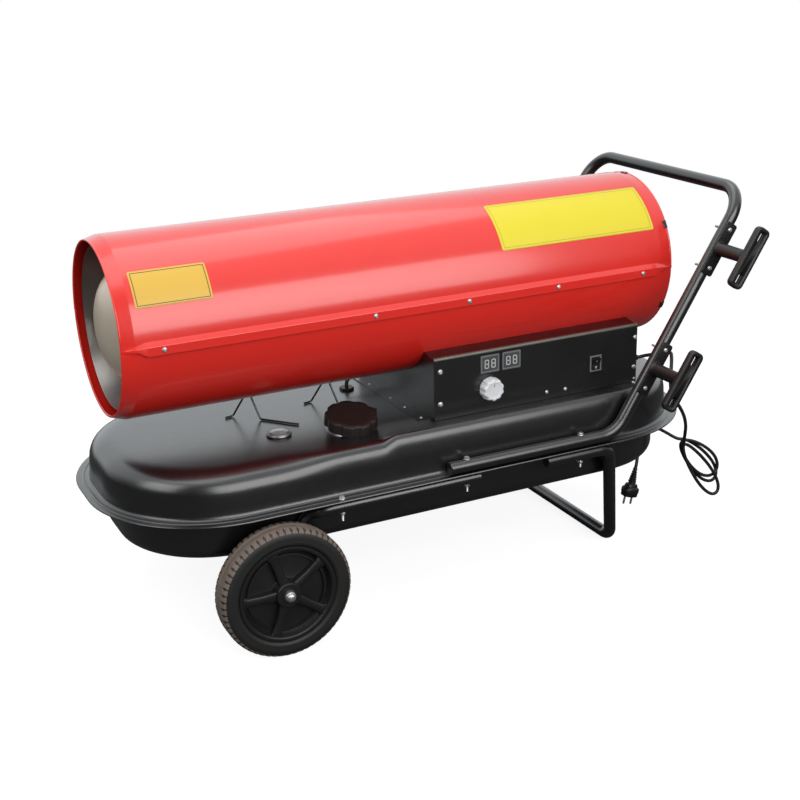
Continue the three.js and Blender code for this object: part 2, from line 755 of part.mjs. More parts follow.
function electrode() {
  const r = ELECTRODE_RADIUS;
  const shoulder = BURNER_WEB + GAP;
  const end = ELECTRODE_LENGTH / 2;
  return turned([
    [0, -end], [1, -end], [r, -end + 12], [r, shoulder], [r + 2.5, shoulder], [r + 2.5, end], [0, end],
  ], 14);
}
add('spark_electrode', electrode(), PALE_PLASTIC, [WEB_X, 0, SHELL_AXIS_Z - ELECTRODE_OFFSET], ALONG_X);

function photocell() {
  const neck = PHOTOCELL_NECK_RADIUS;
  const shoulder = BURNER_WEB + GAP;
  const r = PHOTOCELL_RADIUS;
  return turned([
    [0, -4], [neck, -4], [neck, shoulder], [r, shoulder], [r, PHOTOCELL_LENGTH], [0, PHOTOCELL_LENGTH],
  ], 16);
}
add('photocell', photocell(), BLACK_PLASTIC, [WEB_X, 0, SHELL_AXIS_Z + ELECTRODE_OFFSET], ALONG_X);

// ---- motor, its bracket, fan, shaft and pump
const FAN_X = SHELL_LENGTH - FAN_FROM_REAR;
const FAN_RADIUS = SHELL_RADIUS - FAN_TIP_ROOM;
const MOTOR_X = SHELL_LENGTH - MOTOR_FROM_REAR;
const MOTOR_END = MOTOR_X + MOTOR_LENGTH;

function motor() {
  const r = MOTOR_RADIUS;
  const bore = SHAFT_RADIUS + RUN;
  const length = MOTOR_LENGTH;
  return turned([
    [bore, 0], [r * 0.55, 0], [r * 0.62, 6], [r - 4, 10], [r, 16], [r, length - 16], [r - 4, length - 10],
    [r * 0.62, length - 6], [r * 0.55, length], [bore, length],
  ]);
}
add('motor', motor(), ALUMINIUM, onShellAxis(MOTOR_X), ALONG_X);

function motorBracket() {
  const x0 = MOTOR_X + (MOTOR_LENGTH - BRACKET_WIDTH) / 2;
  const x1 = x0 + BRACKET_WIDTH;
  const half = MOTOR_RADIUS * 0.86;
  const legs = [-1, 1].map((side) => {
    const inner = side * (half - BRACKET_SHEET);
    const outer = side * half;
    return box([x0, Math.min(inner, outer), -SHELL_RADIUS], [x1, Math.max(inner, outer), 0]);
  });
  const shelf = box([x0, -half, -MOTOR_RADIUS - 10], [x1, half, -MOTOR_RADIUS * 0.45]);
  const foot = box([x0, -half - 24, -SHELL_RADIUS], [x1, half + 24, -SHELL_RADIUS * 0.82]);
  const inShell = bar([x0 - 5, 0, 0], [x1 + 5, 0, 0], SHELL_FLAT - GAP, 48);
  const motorRoom = bar([x0 - 5, 0, 0], [x1 + 5, 0, 0], MOTOR_RADIUS + GAP, 32);
  const hollow = bar([x0 - 5, 0, 0], [x1 + 5, 0, 0], SHELL_BORE - 7, 48);
  const underside = box([x0 - 5, -half - 40, -SHELL_RADIUS], [x1 + 5, half + 40, -SHELL_RADIUS * 0.7]);
  const plate = solid(foot).intersect(solid(inShell)).subtract(solid(hollow).intersect(solid(underside)));
  const frame = solid(join(...legs, shelf)).intersect(solid(inShell)).subtract(solid(motorRoom));
  return fromSolid(frame.add(plate));
}
add('motor_bracket', motorBracket(), STEEL, onShellAxis(0));

const SHAFT_X0 = FAN_X - 20;
const PUMP_X = MOTOR_END + GAP;
const ROTOR_X = PUMP_X + PUMP_WALL + RUN;
const ROTOR_LENGTH = PUMP_LENGTH - PUMP_WALL - 2 * RUN;
const SHAFT_LENGTH = ROTOR_X - GAP - SHAFT_X0;
add('motor_shaft', disc(SHAFT_RADIUS, 0, SHAFT_LENGTH, 20), STEEL, onShellAxis(SHAFT_X0), ALONG_X);

function fan() {
  const hub = washer(SHAFT_RADIUS + GAP, FAN_HUB_RADIUS, -FAN_WIDTH / 2, FAN_WIDTH / 2, 20);
  const blades = [];
  for (let k = 0; k < FAN_BLADES; k += 1) {
    const half = [FAN_BLADE_THICK / 2, FAN_BLADE_WIDTH / 2];
    const blade = box([-half[0], FAN_HUB_RADIUS - 2.5, -half[1]], [half[0], FAN_RADIUS, half[1]]);
    blade.applyMatrix4(new THREE.Matrix4().makeRotationY(Math.PI / 2 - FAN_PITCH));
    blade.rotateX(Math.PI / 2);
    blades.push(blade.rotateY((2 * Math.PI * k) / FAN_BLADES));
  }
  const reach = disc(FAN_RADIUS, -FAN_WIDTH, FAN_WIDTH, 24);
  return fromSolid(solid(join(hub, ...blades)).intersect(solid(reach)));
}
add('fan', fan(), ALUMINIUM, onShellAxis(FAN_X + FAN_WIDTH / 2), ALONG_X);

const ROTOR_BORE = PUMP_RADIUS - 9;
add('pump_body', turned([
  [SHAFT_RADIUS + RUN, 0], [PUMP_RADIUS, 0], [PUMP_RADIUS, PUMP_LENGTH], [ROTOR_BORE, PUMP_LENGTH],
  [ROTOR_BORE, PUMP_WALL], [SHAFT_RADIUS + RUN, PUMP_WALL],
]), ALUMINIUM, onShellAxis(PUMP_X), ALONG_X);

function rotor() {
  const vaneSlots = [];
  for (let k = 0; k < 4; k += 1) {
    const slot = box([-1.5, -1, ROTOR_RADIUS - 9], [1.5, ROTOR_LENGTH + 1, ROTOR_RADIUS + 3]);
    vaneSlots.push(slot.rotateY((k * Math.PI) / 2));
  }
  return cut(disc(ROTOR_RADIUS, 0, ROTOR_LENGTH, 28), ...vaneSlots);
}
add('pump_rotor', rotor(), STEEL, onShellAxis(ROTOR_X), ALONG_X);

const COVER_X = PUMP_X + PUMP_LENGTH + GAP;
const DIAL_Z = 14;
add('pump_cover', turned([
  [0, 0], [PUMP_RADIUS, 0], [PUMP_RADIUS, 6], [PUMP_RADIUS - 7, 10], [PUMP_RADIUS - 7, COVER_LENGTH - 3],
  [PUMP_RADIUS - 10, COVER_LENGTH], [0, COVER_LENGTH],
]), ALUMINIUM, onShellAxis(COVER_X), ALONG_X);
add('pressure_gauge', turned([
  [0, 0], [6, 0], [6, 4], [PRESSURE_DIAL_RADIUS, 4], [PRESSURE_DIAL_RADIUS, PRESSURE_DIAL_LENGTH],
  [PRESSURE_DIAL_RADIUS - 2, PRESSURE_DIAL_LENGTH], [PRESSURE_DIAL_RADIUS - 2, PRESSURE_DIAL_LENGTH - 2],
  [0, PRESSURE_DIAL_LENGTH - 2],
]), BRASS, [COVER_X + COVER_LENGTH + GAP, 0, SHELL_AXIS_Z + DIAL_Z], ALONG_X);

// ---- rear guard: rings and spokes, with a tab in each slot of the rim
const GUARD_RADIUS = SHELL_RADIUS - GUARD_INSIDE;

function guard() {
  const x = SHELL_LENGTH - GUARD_SET_BACK;
  const half = GUARD_WIRE / 2;
  const rings = [...GUARD_RINGS, GUARD_RADIUS].map((r) => {
    return washer(r - half, r + half, -half, half, GUARD_SIDES);
  });
  const middle = disc(GUARD_MIDDLE_RADIUS, -half, half, 12);
  const bars = [];
  for (let k = 0; k < GUARD_TABS; k += 1) {
    const angle = THREE.MathUtils.degToRad(30) + (2 * Math.PI * k) / GUARD_TABS;
    bars.push(box([-half + 0.2, -half, 4], [half - 0.2, half, GUARD_RADIUS])
      .applyMatrix4(new THREE.Matrix4().makeRotationX(angle - Math.PI / 2)));
  }
  const wires = [...rings, middle].map((ring) => ring.rotateZ(-Math.PI / 2));
  const frame = join(...wires, ...bars).translate(x, 0, SHELL_AXIS_Z);
  const tabs = [];
  for (const angle of [...guardTabAngles(true), ...guardTabAngles(false)]) {
    tabs.push(tabBlock(angle, GUARD_RADIUS - 1, SHELL_RADIUS + 0.8, 0));
  }
  return join(frame, ...tabs);
}
add('fan_guard', guard(), BLACK_PAINT);

// ---- fuel tank
const TANK_X1 = TANK_X0 + TANK_LENGTH;
const CORNER_STEPS = 6;
const EDGE_STEPS = 8; // stations along each straight side, so that the ridge can start and end

function inRidge(x) {
  return smoothstep(x, RIDGE_START_X) * (1 - smoothstep(x, RIDGE_END_X));
}

// one ring round the tank: inset(x) is how far inside the flange's edge it lies, height(x) how high
function tankRing(inset, height, edgeSteps = EDGE_STEPS) {
  const straight0 = TANK_X0 + TANK_END_RADIUS;
  const straight1 = TANK_X1 - TANK_END_RADIUS;
  const side = TANK_HALF_WIDTH - TANK_END_RADIUS;
  const ring = [];
  const push = (baseX, baseY, angle) => {
    const edge = [baseX + TANK_END_RADIUS * Math.cos(angle), baseY + TANK_END_RADIUS * Math.sin(angle)];
    const s = inset(edge[0]);
    ring.push([edge[0] - s * Math.cos(angle), edge[1] - s * Math.sin(angle), height(edge[0])]);
  };
  const corner = (baseX, baseY, from) => {
    for (let k = 0; k <= CORNER_STEPS; k += 1) {
      push(baseX, baseY, from + ((Math.PI / 2) * k) / CORNER_STEPS);
    }
  };
  const edge = (from, to, baseY, angle) => {
    for (let k = 1; k < edgeSteps; k += 1) push(from + ((to - from) * k) / edgeSteps, baseY, angle);
  };
  corner(straight1, side, 0);
  edge(straight1, straight0, side, Math.PI / 2);
  corner(straight0, side, Math.PI / 2);
  corner(straight0, -side, Math.PI);
  edge(straight0, straight1, -side, -Math.PI / 2);
  corner(straight1, -side, -Math.PI / 2);
  return ring;
}

// the upper half's wall: [share of the shoulder's run, drop below the top, share of the ridge]
const UPPER_WALL = [[1, 0, 0], [0.55, 1.2, 0.85], [0.3, 6, 1], [0.13, 15, 0.8], [0.03, 30, 0.2], [0, 48, 0]];

function upperRing([run, drop, ridge], sheet) {
  const shoulder = (x) => {
    return THREE.MathUtils.lerp(SHOULDER_FRONT, SHOULDER_REAR, smoothstep(x, SHOULDER_CHANGE_X));
  };
  const inset = (x) => FLANGE_WIDTH + 3 + run * shoulder(x) + sheet;
  const height = (x) => TANK_TOP_Z - drop + ridge * RIDGE_HEIGHT * inRidge(x) - (run > 0.03 ? sheet : 0);
  return tankRing(inset, height);
}

function flat(inset, z, edgeSteps) {
  return tankRing(() => inset, () => z, edgeSteps);
}

function upperTank() {
  const flangeBottom = FLANGE_Z - FLANGE_SHEET;
  const rings = [
    ...UPPER_WALL.map((row) => upperRing(row, 0)),
    flat(FLANGE_WIDTH + 1, FLANGE_Z),
    flat(0, FLANGE_Z),
    flat(0, flangeBottom),
    flat(FLANGE_WIDTH + 1 + TANK_SHEET, flangeBottom),
    ...[5, 2, 0].map((k) => upperRing(UPPER_WALL[k], TANK_SHEET)),
  ];
  return skin(rings);
}

const LOWER_FLANGE_TOP = FLANGE_Z - FLANGE_SHEET - GAP;
const FLANGE_UNDERSIDE = LOWER_FLANGE_TOP - FLANGE_SHEET;

function lowerTank() {
  const corner = [];
  for (let k = 0; k <= 3; k += 1) {
    const angle = (Math.PI / 2) * (k / 3);
    corner.push([LOWER_CORNER * (1 - Math.cos(angle)), LOWER_CORNER * (1 - Math.sin(angle))]);
  }
  const straight = (inset, z) => flat(inset, z, 1);
  const wall = (run, rise, sheet) => straight(LOWER_WALL_INSET + run + sheet, TANK_BOTTOM_Z + rise + sheet);
  const rings = [
    ...corner.map(([run, rise]) => wall(run, rise, 0)).reverse(),
    straight(LOWER_WALL_INSET, FLANGE_UNDERSIDE),
    straight(0, FLANGE_UNDERSIDE),
    straight(0, LOWER_FLANGE_TOP),
    straight(LOWER_WALL_INSET + TANK_SHEET, LOWER_FLANGE_TOP),
    ...corner.map(([run, rise]) => wall(run, rise, TANK_SHEET)),
  ];
  return skin(rings);
}

const fillerFrame = new THREE.Matrix4()
  .makeRotationX(FILLER_TILT)
  .setPosition(FILLER_X, FILLER_Y, TANK_TOP_Z);
const NECK_SKIRT_RADIUS = NECK_RADIUS - NECK_SHOULDER; // the part that reaches down into the tank
function fillerHole(from, radius) {
  return bar([0, 0, from], [0, 0, 30], radius + GAP, 36).applyMatrix4(fillerFrame);
}
const neckHole = fillerHole(-NECK_DROP - 20, NECK_SKIRT_RADIUS);
const neckSeat = fillerHole(-NECK_SEAT, NECK_RADIUS);
function topHole(x, y, radius, sides) {
  const reach = TANK_TOP_Z - FLANGE_Z;
  return bar([x, y, TANK_TOP_Z - reach / 2], [x, y, TANK_TOP_Z + reach / 2], radius + GAP, sides);
}
const gaugeHole = topHole(GAUGE_X, GAUGE_Y, GAUGE_STEM_RADIUS, 24);
const pickupHole = topHole(PICKUP_X, PICKUP_Y, PICKUP_RADIUS, 12);
const DRAIN_X = TANK_X1 - LOWER_WALL_INSET; // the flat middle of the lower half's rear wall
const drainEnds = [-1, 1].map((side) => [DRAIN_X + side * (DRAIN_IN + GAP), 0, DRAIN_Z]);
const drainHole = bar(...drainEnds, DRAIN_RADIUS + GAP, 16);
add('tank_upper', cut(upperTank(), neckHole, neckSeat, gaugeHole, pickupHole), BLACK_PAINT);
add('tank_lower', cut(lowerTank(), drainHole), BLACK_PAINT);
add('drain_plug', turned([
  [0, DRAIN_HEAD], [DRAIN_HEAD_RADIUS, DRAIN_HEAD], [DRAIN_HEAD_RADIUS, 0], [DRAIN_RADIUS, 0],
  [DRAIN_RADIUS, -DRAIN_IN], [0, -DRAIN_IN],
], 16), STEEL, [DRAIN_X + GAP, 0, DRAIN_Z], ALONG_X);

// ---- filler: everything here shares the tilted frame, its own +Z points out of the mouth
const filler = new THREE.Group();
filler.position.set(FILLER_X, FILLER_Y, TANK_TOP_Z);
filler.rotation.x = FILLER_TILT;
heater.add(filler);

const COLLAR_BORE = COLLAR_RADIUS - COLLAR_WALL;
add('filler_neck', turned([
  [COLLAR_BORE, -NECK_DROP], [NECK_SKIRT_RADIUS, -NECK_DROP], [NECK_SKIRT_RADIUS, GAP - NECK_SEAT],
  [NECK_RADIUS, GAP - NECK_SEAT],
  [NECK_RADIUS, NECK_RISE - 3], [NECK_RADIUS - 3, NECK_RISE], [COLLAR_RADIUS, NECK_RISE],
  [COLLAR_RADIUS, COLLAR_RISE], [COLLAR_BORE, COLLAR_RISE],
]), BLACK_PAINT, [0, 0, 0], ALONG_Z, filler);

const STRAINER_RADIUS = COLLAR_BORE - GAP;
const STRAINER_LIP = 1.4;
const LIP_TOP = COLLAR_RISE + GAP + STRAINER_LIP;
add('fuel_strainer', turned([
  [0, LIP_TOP - STRAINER_DEPTH], [STRAINER_RADIUS, LIP_TOP - STRAINER_DEPTH],
  [STRAINER_RADIUS, COLLAR_RISE + GAP],
  [COLLAR_RADIUS, COLLAR_RISE + GAP], [COLLAR_RADIUS, LIP_TOP], [STRAINER_RADIUS - STRAINER_WALL, LIP_TOP],
  [STRAINER_RADIUS - STRAINER_WALL, LIP_TOP - STRAINER_DEPTH + STRAINER_WALL],
  [0, LIP_TOP - STRAINER_DEPTH + STRAINER_WALL],
]), STEEL, [0, 0, 0], ALONG_Z, filler);

const SEAL_BASE = LIP_TOP + GAP;
add('cap_seal', washer(COLLAR_BORE - 5, COLLAR_RADIUS + 1, SEAL_BASE, SEAL_BASE + SEAL_THICK),
  RUBBER, [0, 0, 0], ALONG_Z, filler);

// a round grip with scallops pressed into its rim, about its own Y axis
function scalloped(geometry, radius, count, gripRadius, depth, from, to) {
  const tools = [];
  for (let k = 0; k < count; k += 1) {
    const angle = (2 * Math.PI * (k + 0.5)) / count;
    const at = radius + gripRadius - depth;
    tools.push(bar([at * Math.cos(angle), from, at * Math.sin(angle)],
      [at * Math.cos(angle), to, at * Math.sin(angle)], gripRadius, 8));
  }
  return cut(geometry, ...tools);
}

const CAP_TOP = SEAL_BASE + SEAL_THICK + GAP + CAP_WALL;
const CAP_FOOT = NECK_RISE + 0.6;
function fuelCap() {
  const inner = CAP_RADIUS - CAP_WALL - CAP_GRIP_DEPTH;
  const top = CAP_TOP - CAP_WALL;
  const body = turned([
    [0, top], [inner, top], [inner, CAP_FOOT], [CAP_RADIUS, CAP_FOOT], [CAP_RADIUS, CAP_TOP - 2.5],
    [CAP_RADIUS - 2.5, CAP_TOP], [0, CAP_TOP],
  ], 27);
  const edge = [CAP_RADIUS, CAP_GRIPS, CAP_GRIP_RADIUS, CAP_GRIP_DEPTH];
  return scalloped(body, ...edge, CAP_FOOT - 5, CAP_TOP + 5);
}
add('fuel_cap', fuelCap(), BLACK_PLASTIC, [0, 0, 0], ALONG_Z, filler);

// ---- fuel gauge
const gauge = new THREE.Group();
gauge.position.set(GAUGE_X, GAUGE_Y, TANK_TOP_Z + GAP);
heater.add(gauge);

const ROD_DROP = GAUGE_ROD_END_Z - TANK_TOP_Z - GAP;
const FLOAT_TOP_ROOM = -22;
const GAUGE_WELL = GAUGE_RADIUS - GAUGE_BEZEL;
add('gauge_body', turned([
  [0, ROD_DROP], [GAUGE_ROD_RADIUS + 4, ROD_DROP], [GAUGE_ROD_RADIUS + 4, ROD_DROP + 3],
  [GAUGE_ROD_RADIUS, ROD_DROP + 3], [GAUGE_ROD_RADIUS, FLOAT_TOP_ROOM], [GAUGE_STEM_RADIUS, FLOAT_TOP_ROOM],
  [GAUGE_STEM_RADIUS, 0], [GAUGE_RADIUS, 0], [GAUGE_RADIUS, GAUGE_HEIGHT], [GAUGE_WELL, GAUGE_HEIGHT],
  [GAUGE_WELL, 2], [0, 2],
]), PALE_PLASTIC, [0, 0, 0], ALONG_Z, gauge);

function pointer() {
  const pin = disc(2.4, 2 + RUN, 2 + RUN + 2.2, 14);
  const hand = box([-1.2, 2 + RUN + 0.6, -5], [1.2, 2 + RUN + 0.6 + POINTER_THICK, GAUGE_WELL - 3]);
  return join(pin, hand);
}
add('gauge_pointer', pointer(), RED, [0, 0, 0], ALONG_Z, gauge);
add('gauge_window', disc(GAUGE_WELL - GAP, GAUGE_HEIGHT - 1.8, GAUGE_HEIGHT - 0.3),
  GLASS, [0, 0, 0], ALONG_Z, gauge);
add('gauge_float', washer(GAUGE_ROD_RADIUS + RUN, FLOAT_RADIUS, 0, FLOAT_HEIGHT, 24),
  PALE_PLASTIC, [GAUGE_X, GAUGE_Y, FLOAT_REST_Z + FLOAT_HEIGHT], new THREE.Euler(-Math.PI / 2, 0, 0));

// ---- fuel pickup: stands on the tank, reaches down inside it and runs into the control box
function pickup() {
  const turn = [PICKUP_X, PICKUP_Y, PICKUP_RISE_Z];
  const end = [BOX_X0 + BOX_SHEET + 12, PICKUP_Y, PICKUP_RISE_Z];
  const pipe = sweep(filleted([[PICKUP_X, PICKUP_Y, PICKUP_END_Z], turn, end], 12), PICKUP_RADIUS, 8);
  const base = TANK_TOP_Z + GAP;
  const flangeEnds = [base, base + PICKUP_FLANGE_THICK].map((z) => [PICKUP_X, PICKUP_Y, z]);
  return join(pipe, bar(...flangeEnds, PICKUP_FLANGE_RADIUS, 6));
}
add('fuel_pickup', pickup(), BRASS);

// ---- control box: a sheet metal tray under the shell, its top edges sloping up to it
const BOX_HALF_WIDTH = SHELL_RADIUS + BOX_BEYOND_SHELL;
const GLAND_Y = GLAND_FROM_SIDE - BOX_HALF_WIDTH;
const BOX_BOTTOM_Z = TANK_TOP_Z + GAP;
const SHELL_ROOM_SIDES = 48;
const BOX_ABOVE_Z = SHELL_AXIS_Z - 40; // the outline is closed off here, inside the room of the shell

// the section across X; its sloping tops end at the shell, which is cut out of it afterwards
function boxOutline(inset) {
  const half = BOX_HALF_WIDTH - inset;
  const reach = SHELL_RADIUS + GAP;
  const lipZ = BOX_TOP_Z + BOX_SLOPE_RISE;
  const lipY = Math.sqrt(reach ** 2 - (SHELL_AXIS_Z - lipZ) ** 2);
  const side = [
    [half, BOX_BOTTOM_Z + inset], [half, BOX_TOP_Z - inset],
    [lipY - 2, lipZ - inset], [lipY - 2, BOX_ABOVE_Z],
  ];
  return [...side, ...side.map(([y, z]) => [-y, z]).reverse()];
}

function prism(outline, x0, x1) {
  return loftAlongX([{ x: x0, outline }, { x: x1, outline }]);
}

const GLAND_NECK = GLAND_RADIUS;
function controlBox() {
  const inner = prism(boxOutline(BOX_SHEET), BOX_X0 + BOX_SHEET, BOX_X1 - BOX_SHEET);
  const front = -BOX_HALF_WIDTH - 5;
  const window = box(
    [BOX_X0 + BOX_FRAME, front, BOX_BOTTOM_Z + BOX_FRAME],
    [BOX_X1 - BOX_FRAME, -BOX_HALF_WIDTH + BOX_SHEET + 1, BOX_TOP_Z - BOX_FRAME_TOP],
  );
  const cordHoleEnds = [BOX_X1 - 20, BOX_X1 + 20].map((x) => [x, GLAND_Y, GLAND_Z]);
  const cordHole = bar(...cordHoleEnds, GLAND_NECK + GAP, 20);
  const pipeAt = [PICKUP_Y, PICKUP_RISE_Z];
  const pipeHole = bar([BOX_X0 - 20, ...pipeAt], [BOX_X0 + 20, ...pipeAt], PICKUP_RADIUS + GAP, 12);
  const roomRadius = (SHELL_RADIUS + GAP) / Math.cos(Math.PI / SHELL_ROOM_SIDES);
  const roomEnds = [[BOX_X0 - 9, 0, SHELL_AXIS_Z], [BOX_X1 + 9, 0, SHELL_AXIS_Z]];
  const shellRoom = bar(...roomEnds, roomRadius, SHELL_ROOM_SIDES);
  const foot = box(
    [BOX_X0 - BOX_FOOT, -BOX_HALF_WIDTH + 8, BOX_BOTTOM_Z],
    [BOX_X0 + 1, BOX_HALF_WIDTH - 8, BOX_BOTTOM_Z + BOX_SHEET],
  );
  const tray = cut(prism(boxOutline(0), BOX_X0, BOX_X1), inner, window, cordHole, pipeHole, shellRoom);
  return join(tray, foot);
}
add('control_box', controlBox(), BLACK_PAINT);

// ---- control panel and what it carries
const PANEL_BACK_Y = -BOX_HALF_WIDTH - GAP;
const PANEL_FRONT_Y = PANEL_BACK_Y - PANEL_SHEET;

function controlPanel() {
  const plate = box([BOX_X0, PANEL_FRONT_Y, BOX_BOTTOM_Z], [BOX_X1, PANEL_BACK_Y, BOX_TOP_Z]);
  const rollY = PANEL_FRONT_Y + PANEL_ROLL_RADIUS;
  const rollEnds = [[BOX_X0, rollY, BOX_TOP_Z], [BOX_X1, rollY, BOX_TOP_Z]];
  const roll = bar(...rollEnds, PANEL_ROLL_RADIUS, 12);
  const boxRoom = box(
    [BOX_X0 - 5, PANEL_BACK_Y, BOX_BOTTOM_Z],
    [BOX_X1 + 5, PANEL_BACK_Y + 20, BOX_TOP_Z + GAP + 2.2],
  );
  const windows = DISPLAY_CENTRES_X.map((x) => box(
    [x - DISPLAY_WIDTH / 2 - GAP, PANEL_FRONT_Y - 5, DISPLAY_Z - DISPLAY_HEIGHT / 2 - GAP],
    [x + DISPLAY_WIDTH / 2 + GAP, PANEL_BACK_Y + 5, DISPLAY_Z + DISPLAY_HEIGHT / 2 + GAP],
  ));
  const inset = SWITCH_BORDER / 2;
  const switchHole = box(
    [SWITCH_X - SWITCH_WIDTH / 2 + inset, PANEL_FRONT_Y - 5, SWITCH_Z - SWITCH_HEIGHT / 2 + inset],
    [SWITCH_X + SWITCH_WIDTH / 2 - inset, PANEL_BACK_Y + 5, SWITCH_Z + SWITCH_HEIGHT / 2 - inset],
  );
  const shaftEnds = [PANEL_FRONT_Y - 5, PANEL_BACK_Y + 5].map((y) => [KNOB_X, y, KNOB_Z]);
  const shaftHole = bar(...shaftEnds, KNOB_SHAFT_RADIUS + KNOB_SHAFT_ROOM, 16);
  return cut(cut(join(plate, roll), boxRoom), ...windows, switchHole, shaftHole);
}
add('control_panel', controlPanel(), BLACK_PAINT);

// a display is a block in its window with a wider flange behind the panel
function display() {
  const [w, h] = [DISPLAY_WIDTH / 2, DISPLAY_HEIGHT / 2];
  const face = box([-w, PANEL_FRONT_Y - DISPLAY_PROUD, -h], [w, PANEL_BACK_Y + DISPLAY_DEPTH, h]);
  const flange = box([-w - 2.2, PANEL_BACK_Y + GAP, -h - 2], [w + 2.2, PANEL_BACK_Y + 3, h + 2]);
  return join(face, flange);
}
['set_display', 'room_display'].forEach((name, k) => {
  add(name, display(), PALE_PLASTIC, [DISPLAY_CENTRES_X[k], 0, DISPLAY_Z]);
});

const KNOB_BACK = -PANEL_FRONT_Y + KNOB_STAND_OFF; // distances here are measured towards -Y
const SHAFT_END = -PANEL_BACK_Y - 12;
function knob() {
  const grip = turned([
    [0, SHAFT_END], [KNOB_SHAFT_RADIUS, SHAFT_END], [KNOB_SHAFT_RADIUS, KNOB_BACK],
    [KNOB_RADIUS, KNOB_BACK],
    [KNOB_RADIUS - 1.5, KNOB_BACK + KNOB_DEPTH - 2], [KNOB_RADIUS - 4, KNOB_BACK + KNOB_DEPTH],
    [0, KNOB_BACK + KNOB_DEPTH],
  ], 24);
  const edge = [KNOB_RADIUS, KNOB_GRIPS, KNOB_GRIP_RADIUS, KNOB_GRIP_DEPTH];
  return scalloped(grip, ...edge, KNOB_BACK - 3, KNOB_BACK + KNOB_DEPTH + 3);
}
add('thermostat_knob', knob(), PALE_PLASTIC, [KNOB_X, 0, KNOB_Z], TOWARDS_VIEW);

function thermostatBody() {
  const [w, d, h] = THERMOSTAT_SIZE;
  const body = box([-w / 2, PANEL_BACK_Y + GAP, -h / 2], [w / 2, PANEL_BACK_Y + GAP + d, h / 2]);
  const bore = bar([0, PANEL_BACK_Y - 5, 0], [0, PANEL_BACK_Y + 14, 0], KNOB_SHAFT_RADIUS + RUN, 16);
  return cut(body, bore);
}
add('thermostat_body', thermostatBody(), BLACK_PLASTIC, [KNOB_X, 0, KNOB_Z]);

function switchFrame() {
  const [w, h] = [SWITCH_WIDTH / 2, SWITCH_HEIGHT / 2];
  const neck = SWITCH_BORDER / 2 + GAP;
  const rim = box([-w, PANEL_FRONT_Y - SWITCH_PROUD, -h], [w, PANEL_FRONT_Y - GAP, h]);
  const bodyEnd = PANEL_BACK_Y + SWITCH_DEPTH;
  const body = box([-w + neck, PANEL_FRONT_Y - SWITCH_PROUD + 0.5, -h + neck], [w - neck, bodyEnd, h - neck]);
  const b = SWITCH_BORDER;
  const well = box([-w + b, PANEL_FRONT_Y - 9, -h + b], [w - b, bodyEnd - SWITCH_FLOOR, h - b]);
  return cut(join(rim, body), well);
}
add('switch_frame', switchFrame(), BLACK_PLASTIC, [SWITCH_X, 0, SWITCH_Z]);

// the rocker's face is a shallow V; it turns about the X axis through its middle, and rests rocked one way
const ROCKER_AXIS_Y = PANEL_FRONT_Y + 4;
const ROCKER_ROOM = 1.4;
function rocker() {
  const half = SWITCH_WIDTH / 2 - SWITCH_BORDER - ROCKER_ROOM / 2;
  const tall = SWITCH_HEIGHT / 2 - SWITCH_BORDER - ROCKER_ROOM;
  const rise = tall * Math.tan(ROCKER_TILT);
  const face = -7.2;
  const back = [[-1, tall], [6, 3], [6, -3], [-1, -tall]];
  return prism([[face, 0], [face - rise, tall], ...back, [face - rise, -tall]], -half, half);
}
add('switch_rocker', rocker(), BLACK_PLASTIC, [SWITCH_X, ROCKER_AXIS_Y, SWITCH_Z],
  new THREE.Euler(ROCKER_TILT, 0, 0));

const FLOOR_Z = BOX_BOTTOM_Z + BOX_SHEET + GAP;
function circuitBoard() {
  const [[x0, x1], [y0, y1]] = [BOARD_X, BOARD_Y];
  const base = FLOOR_Z + BOARD_STAND;
  const plate = box([x0, y0, base], [x1, y1, base + BOARD_THICK]);
  const posts = [];
  for (const x of [x0 + BOARD_POST_INSET, x1 - BOARD_POST_INSET]) {
    for (const y of [y0 + BOARD_POST_INSET, y1 - BOARD_POST_INSET]) {
      posts.push(bar([x, y, FLOOR_Z], [x, y, base + 0.5], BOARD_POST_RADIUS, 8));
    }
  }
  return join(plate, ...posts);
}
add('circuit_board', circuitBoard(), BOARD_GREEN);

function transformer() {
  const [w, d] = TRANSFORMER_SIZE;
  const h = SHELL_AXIS_Z - SHELL_RADIUS - TRANSFORMER_HEADROOM - FLOOR_Z;
  const [postRadius, postRise] = TRANSFORMER_POST;
  const core = box([-w / 2, -d / 2, 0], [w / 2, d / 2, h]);
  const posts = [-1, 1].map((side) => {
    const x = (side * w) / 4;
    return bar([x, 0, h - 1], [x, 0, h + postRise], postRadius, 12);
  });
  return join(core, ...posts);
}
const TRANSFORMER_X = BOX_X1 - TRANSFORMER_FROM_REAR;
add('ignition_transformer', transformer(), BLACK_PLASTIC, [TRANSFORMER_X, TRANSFORMER_Y, FLOOR_Z]);

const GLAND_IN = 12;
const GLAND_OUT_X = BOX_X1 + GLAND_LENGTH;
add('cord_gland', turned([
  [0, -BOX_SHEET - GLAND_IN], [GLAND_NUT_RADIUS, -BOX_SHEET - GLAND_IN], [GLAND_NUT_RADIUS, -BOX_SHEET - GAP],
  [GLAND_NECK, -BOX_SHEET - GAP], [GLAND_NECK, GAP], [GLAND_NUT_RADIUS, GAP], [GLAND_NUT_RADIUS, 7],
  [GLAND_RADIUS - 0.5, 9], [CORD_RADIUS + 1.2, GLAND_LENGTH], [0, GLAND_LENGTH],
], 12), BLACK_PLASTIC, [BOX_X1, GLAND_Y, GLAND_Z], ALONG_X);

